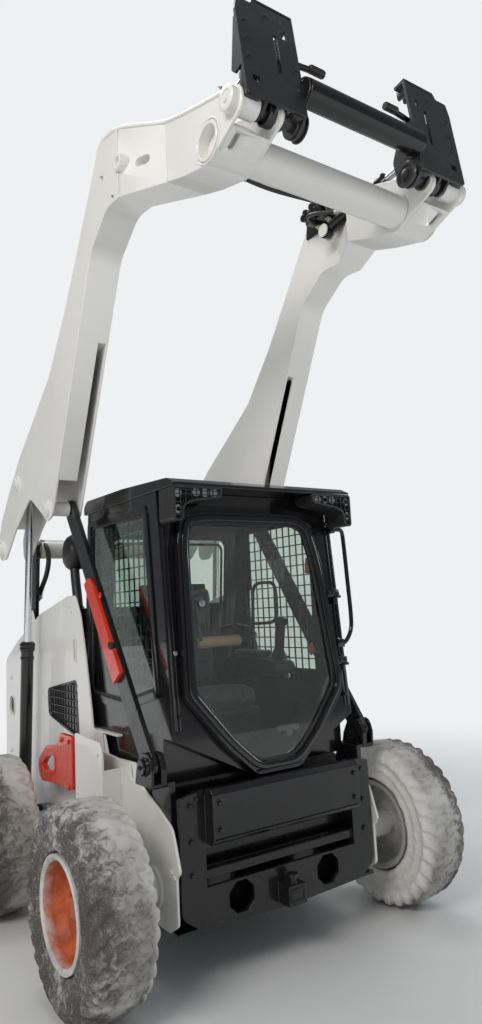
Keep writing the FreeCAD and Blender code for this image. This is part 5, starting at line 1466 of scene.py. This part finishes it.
    def rear(self):
        body = BODY_OF["tailgate"]
        slats = []
        for k in range(11):
            z = 660 + 42 * k
            slats.append(box_piece((-360, 360), (2114, 2138), (z, z + 22), 4, 2, -28))
        slats.append(ring(oblong((-400, 400), (632, 1150), 30, 5), 1, 2116, 14, 22, 4))
        finish_piece(slats, "tailgate_louvres", body, "black_paint")
        rim, glass = [], []
        for sign in SIDES:
            x0, x1 = sorted((sign * 424, sign * 494))
            rim.append(ring(oblong((x0, x1), (1010, 1150), 14, 4), 1, 2116, 18, 9, 3))
            glass.append(plate(oblong((x0 + 8, x1 - 8), (1018, 1142), 10), 1, 2116, 11, 3))
        finish_piece(rim, "tail_lamp_rims", body, "black_plastic")
        finish_piece(glass, "tail_lamps", body, "red_paint", "lamp_red")
        grab = [rod([(-440, 2122, 880), (-440, 2150, 885), (-440, 2156, 930), (-440, 2156, 960), (-440, 2150,
                                                                                                  1000),
                     (-440, 2122, 1000)], 9), plate(oblong((-472, -410), (780, 850), 12), 1, 2116, 8, 2),
                turned(disc(13, 8, 10, 9), at(-440, 2124, 815), (0, 1, 0), 24)]
        finish_piece(grab, "tailgate_handle", body, "black_paint")
        hood = BODY_OF["engine_hood"]
        fins = []
        for k in range(8):
            y = 1440 + 40 * k
            z = 1523 - (y - 1400) * 0.364
            fins.append(box_piece((-300, 300), (y, y + 22), (z - 4, z + 10), 3, 2, -22))
        finish_piece(fins, "hood_louvres", hood, "black_paint")
        spots = [(at(sign * 460, y, z), (0, 0.2, 1)) for sign in SIDES for y, z in ((960, 1569), (1180, 1553),
                                                                                    (1370, 1527))]
        finish_piece(bolt_heads(10, 8, spots), "hood_bolts", hood, "black_paint")
        bar = BODY_OF["rear_bumper"]
        spots = [(at(sign * x, 2130, z), (0, 1, 0)) for sign in SIDES for x in (180, 440) for z in (460, 530)]
        finish_piece(bolt_heads(14, 10, spots), "bumper_bolts", bar, "black_paint")
        pipe = turned([(0, 34), (0, 40), (170, 40), (174, 38), (174, 34), (20, 34)], at(300, 1640, 1400), (0,
                                                                                                           0.3,
                                                                                                           1),
                      28)
        finish_piece(pipe, "exhaust_pipe", hood, "black_paint", "dark_iron")

    def roof(self):
        """Pressed ribs and the seam of the roof panel."""
        body = BODY_OF["cab_roof"]
        ribs = [box_piece((x - 16, x + 16), (40, 620), (2124, 2140), 7, 3, 0.5) for x in (-300, -150, 0, 150,
                                                                                          300)]
        ribs.append(box_piece((-505, 505), (-208, -200), (2062, 2072), 3, 2))
        finish_piece(ribs, "roof_ribs", body, "cab_paint")

    def links(self):
        """Pin ends, the support's hole ring and knob."""
        caps = []
        for sign in SIDES:
            caps.append(turned([(0, 0), (0, 30), (4, 34), (8, 34), (11, 30), (11, 0)], at(sign * 625,
                                                                                          *BRACKET_PIN),
                               (sign, 0, 0), 32))
            caps.append(turned([(0, 0), (0, 9), (6, 9), (8, 5), (14, 4), (14, 0)], at(sign * 634,
                                                                                      *BRACKET_PIN), (sign, 0,
                                                                                                      0), 14))
        finish_piece(caps, "bracket_pin_caps", BODY_OF["link_brackets"], "black_paint")
        body = BODY_OF["arm_support"]
        eye = turned([(0, 6), (0, 13), (3, 13), (4, 11), (4, 6)], at(-620, 318, 1621), (-1, 0, 0), 24)
        finish_piece(eye, "support_eyes", body, "red_paint")
        knob = turned([(0, 0), (0, 7), (10, 7), (12, 14), (30, 18), (36, 17), (40, 10), (41, 0)], at(-622,
                                                                                                     148,
                                                                                                     1392),
                      (-1, -0.2, 0), 28)
        finish_piece(knob, "support_knob", body, "black_plastic")

    def cylinders(self):
        """Gland nuts, ports and steel lines on the lift cylinders."""
        body = BODY_OF["lift_barrels"]
        base, top = Vector(LIFT_BASE), Vector(LIFT_PIN)
        way = (top - base).normalized()

        def along(distance):
            spot = base + way * distance
            return spot.x, spot.y

        parts, lines = [], []
        for sign in SIDES:
            x = sign * 640
            for start, size in ((880, 38), (934, 42), (955, 43)):
                y, z = along(start)
                parts.append(turned([(0, 34), (0, size), (4, size + 1), (14, size + 1), (18, size), (18, 34)],
                                    at(x, y, z), (0, way.x, way.y), 36))
            y, z = along(975)
            parts.append(turned([(-3, 26), (-3, 38), (5, 36), (8, 30), (8, 26)], at(x, y, z), (0, way.x,
                                                                                               way.y), 36))
            for start in (110, 850):
                y, z = along(start)
                parts.append(turned([(28, 0), (28, 15), (48, 15), (50, 12), (62, 12), (62, 0)], at(x, y, z),
                                    (-sign * 0.5, 1, 0.09), 20))
            low, high = along(130), along(840)
            lines.append(rod([(x - sign * 24, low[0] + 52, low[1]), (x - sign * 26, low[0] + 56, low[1] + 60),
                              (x - sign * 26, high[0] + 56, high[1] - 60), (x - sign * 24, high[0] + 46,
                                                                            high[1])], 6))
        finish_piece(parts, "cylinder_collars", body, "black_paint")
        finish_piece(lines, "cylinder_lines", body, "black_paint")


class LOADER_OT_stage(bpy.types.Operator):
    """Floor, lamps, world and camera"""

    bl_idname = "loader.stage"
    bl_label = "Stage"

    def execute(self, context):
        scene = context.scene
        scene.view_settings.view_transform = "Standard"
        self.floor(scene)
        self.world(scene)
        self.lamps(scene)
        self.camera(scene)
        return {"FINISHED"}

    def floor(self, scene):
        bpy.ops.mesh.primitive_plane_add(size=60.0, location=(0.0, 0.0, 0.0))
        ground = bpy.context.active_object
        ground.name = "studio_floor"
        made, tree, shader = start_material("studio_floor")
        speck = ramp(tree, noise_at(tree, 1.3, 5.0), 0.3, 0.7)
        tree.links.new(mix_colour(tree, speck, rgba(scene.loader_paints.floor),
                                  rgba(scene.loader_paints.floor, 0.96)), shader.inputs["Base Color"])
        shader.inputs["Roughness"].default_value = 0.6
        bump(tree, shader, noise_at(tree, 60.0, 4.0), 0.05)
        self.fade(tree, shader)
        ground.data.materials.append(made)

    def fade(self, tree, shader):
        """Blends the floor into the backdrop's colour with distance from the machine."""
        spot = tree.nodes.new("ShaderNodeTexCoord")
        length = place_node(tree, "ShaderNodeVectorMath", {}, operation="LENGTH")
        tree.links.new(spot.outputs["Object"], length.inputs[0])
        amount = ramp(tree, times(tree, length.outputs["Value"], 0.1), 0.22, 0.62)
        backdrop = place_node(tree, "ShaderNodeEmission", {"Color": (*BACKDROP, 1.0), "Strength": 1.0})
        blend = tree.nodes.new("ShaderNodeMixShader")
        out = next(node for node in tree.nodes if node.type == "OUTPUT_MATERIAL")
        tree.links.new(amount, blend.inputs[0])
        tree.links.new(shader.outputs[0], blend.inputs[1])
        tree.links.new(backdrop.outputs[0], blend.inputs[2])
        tree.links.new(blend.outputs[0], out.inputs["Surface"])

    def world(self, scene):
        world = bpy.data.worlds.new("studio_world")
        scene.world = world
        world.use_nodes = True
        tree = world.node_tree
        tree.nodes.clear()
        seen = place_node(tree, "ShaderNodeBackground", {"Color": (*BACKDROP, 1.0), "Strength": 1.0})
        light = place_node(tree, "ShaderNodeBackground", {"Color": (0.80, 0.84, 0.90, 1.0), "Strength": 0.46})
        path = tree.nodes.new("ShaderNodeLightPath")
        mirrored_sky = place_node(tree, "ShaderNodeBackground", {"Color": (0.84, 0.88, 0.94, 1.0),
                                                                 "Strength": 0.20})
        either = calculate(tree, "MAXIMUM", path.outputs["Is Camera Ray"],
                           path.outputs["Is Transmission Ray"])
        blend = tree.nodes.new("ShaderNodeMixShader")
        shown = tree.nodes.new("ShaderNodeMixShader")
        out = tree.nodes.new("ShaderNodeOutputWorld")
        tree.links.new(either, blend.inputs[0])
        tree.links.new(light.outputs[0], blend.inputs[1])
        tree.links.new(seen.outputs[0], blend.inputs[2])
        reflected = minus(tree, path.outputs["Is Glossy Ray"], path.outputs["Is Transmission Ray"])
        tree.links.new(calculate(tree, "MAXIMUM", reflected, 0.0), shown.inputs[0])
        tree.links.new(blend.outputs[0], shown.inputs[1])
        tree.links.new(mirrored_sky.outputs[0], shown.inputs[2])
        tree.links.new(shown.outputs[0], out.inputs["Surface"])

    def lamps(self, scene):
        aim = Vector((0.0, 0.0, 1.4))
        for name, place, size, power, colour in (
                ("key_lamp", (-5.5, -3.5, 5.5), 3.2, 235.0, (1.0, 0.97, 0.93)),
                ("fill_lamp", (5.6, -1.8, 3.4), 3.0, 85.0, (0.92, 0.96, 1.0)),
                ("top_lamp", (0.0, 1.0, 7.0), 4.0, 110.0, (1.0, 0.99, 0.97)),
                ("back_lamp", (3.5, 6.0, 4.0), 3.0, 110.0, (0.95, 0.97, 1.0))):
            light = bpy.data.lights.new(name, "AREA")
            light.shape = "RECTANGLE"
            light.size = size
            light.size_y = size * 0.55
            light.energy = power
            light.color = colour
            lamp = bpy.data.objects.new(name, light)
            scene.collection.objects.link(lamp)
            lamp.visible_glossy = name != "back_lamp"
            lamp.location = place
            lamp.rotation_euler = (aim - Vector(place)).to_track_quat("-Z", "Y").to_euler()

    def camera(self, scene):
        view = scene.loader_view
        ahead = Vector((math.sin(view.yaw) * math.cos(view.pitch), math.cos(view.yaw) * math.cos(view.pitch),
                        math.sin(view.pitch)))
        right = Vector((math.cos(view.yaw), -math.sin(view.yaw), 0.0))
        up = right.cross(ahead)
        turned_right = right * math.cos(view.roll) + up * math.sin(view.roll)
        turned_up = up * math.cos(view.roll) - right * math.sin(view.roll)
        data = bpy.data.cameras.new("photo_camera")
        data.lens = view.lens
        data.sensor_width = 36.0
        data.clip_end = 200.0
        camera = bpy.data.objects.new("photo_camera", data)
        scene.collection.objects.link(camera)
        axes = Matrix((turned_right, turned_up, -ahead)).transposed().to_4x4()
        camera.matrix_world = Matrix.Translation(view.place) @ axes
        scene.camera = camera


class LOADER_PT_panel(bpy.types.Panel):
    """Lists the loader's pieces in the order in which they are made"""

    bl_idname = "LOADER_PT_panel"
    bl_label = "Loader"
    bl_space_type = "VIEW_3D"
    bl_region_type = "UI"
    bl_category = "Loader"

    def draw(self, context):
        for step in STEPS:
            self.layout.operator(step.bl_idname)


GROUPS = {"loader_paints": LoaderPaints, "loader_trim": LoaderTrim, "loader_view": LoaderView}
STEPS = (LOADER_OT_finishes, LOADER_OT_plates, LOADER_OT_wheels, LOADER_OT_windows,
         LOADER_OT_lamps, LOADER_OT_seat, LOADER_OT_arms, LOADER_OT_carrier, LOADER_OT_body,
         LOADER_OT_stage)


def register():
    for kind in (*GROUPS.values(), *STEPS, LOADER_PT_panel):
        bpy.utils.register_class(kind)
    for name, kind in GROUPS.items():
        setattr(bpy.types.Scene, name, bpy.props.PointerProperty(type=kind))


def unregister():
    for name in GROUPS:
        delattr(bpy.types.Scene, name)
    for kind in (LOADER_PT_panel, *reversed(STEPS), *reversed(GROUPS.values())):
        bpy.utils.unregister_class(kind)


def main():
    register()
    for step in STEPS:
        group, name = step.bl_idname.split(".")
        getattr(getattr(bpy.ops, group), name)()


if __name__ == "__main__":
    main()
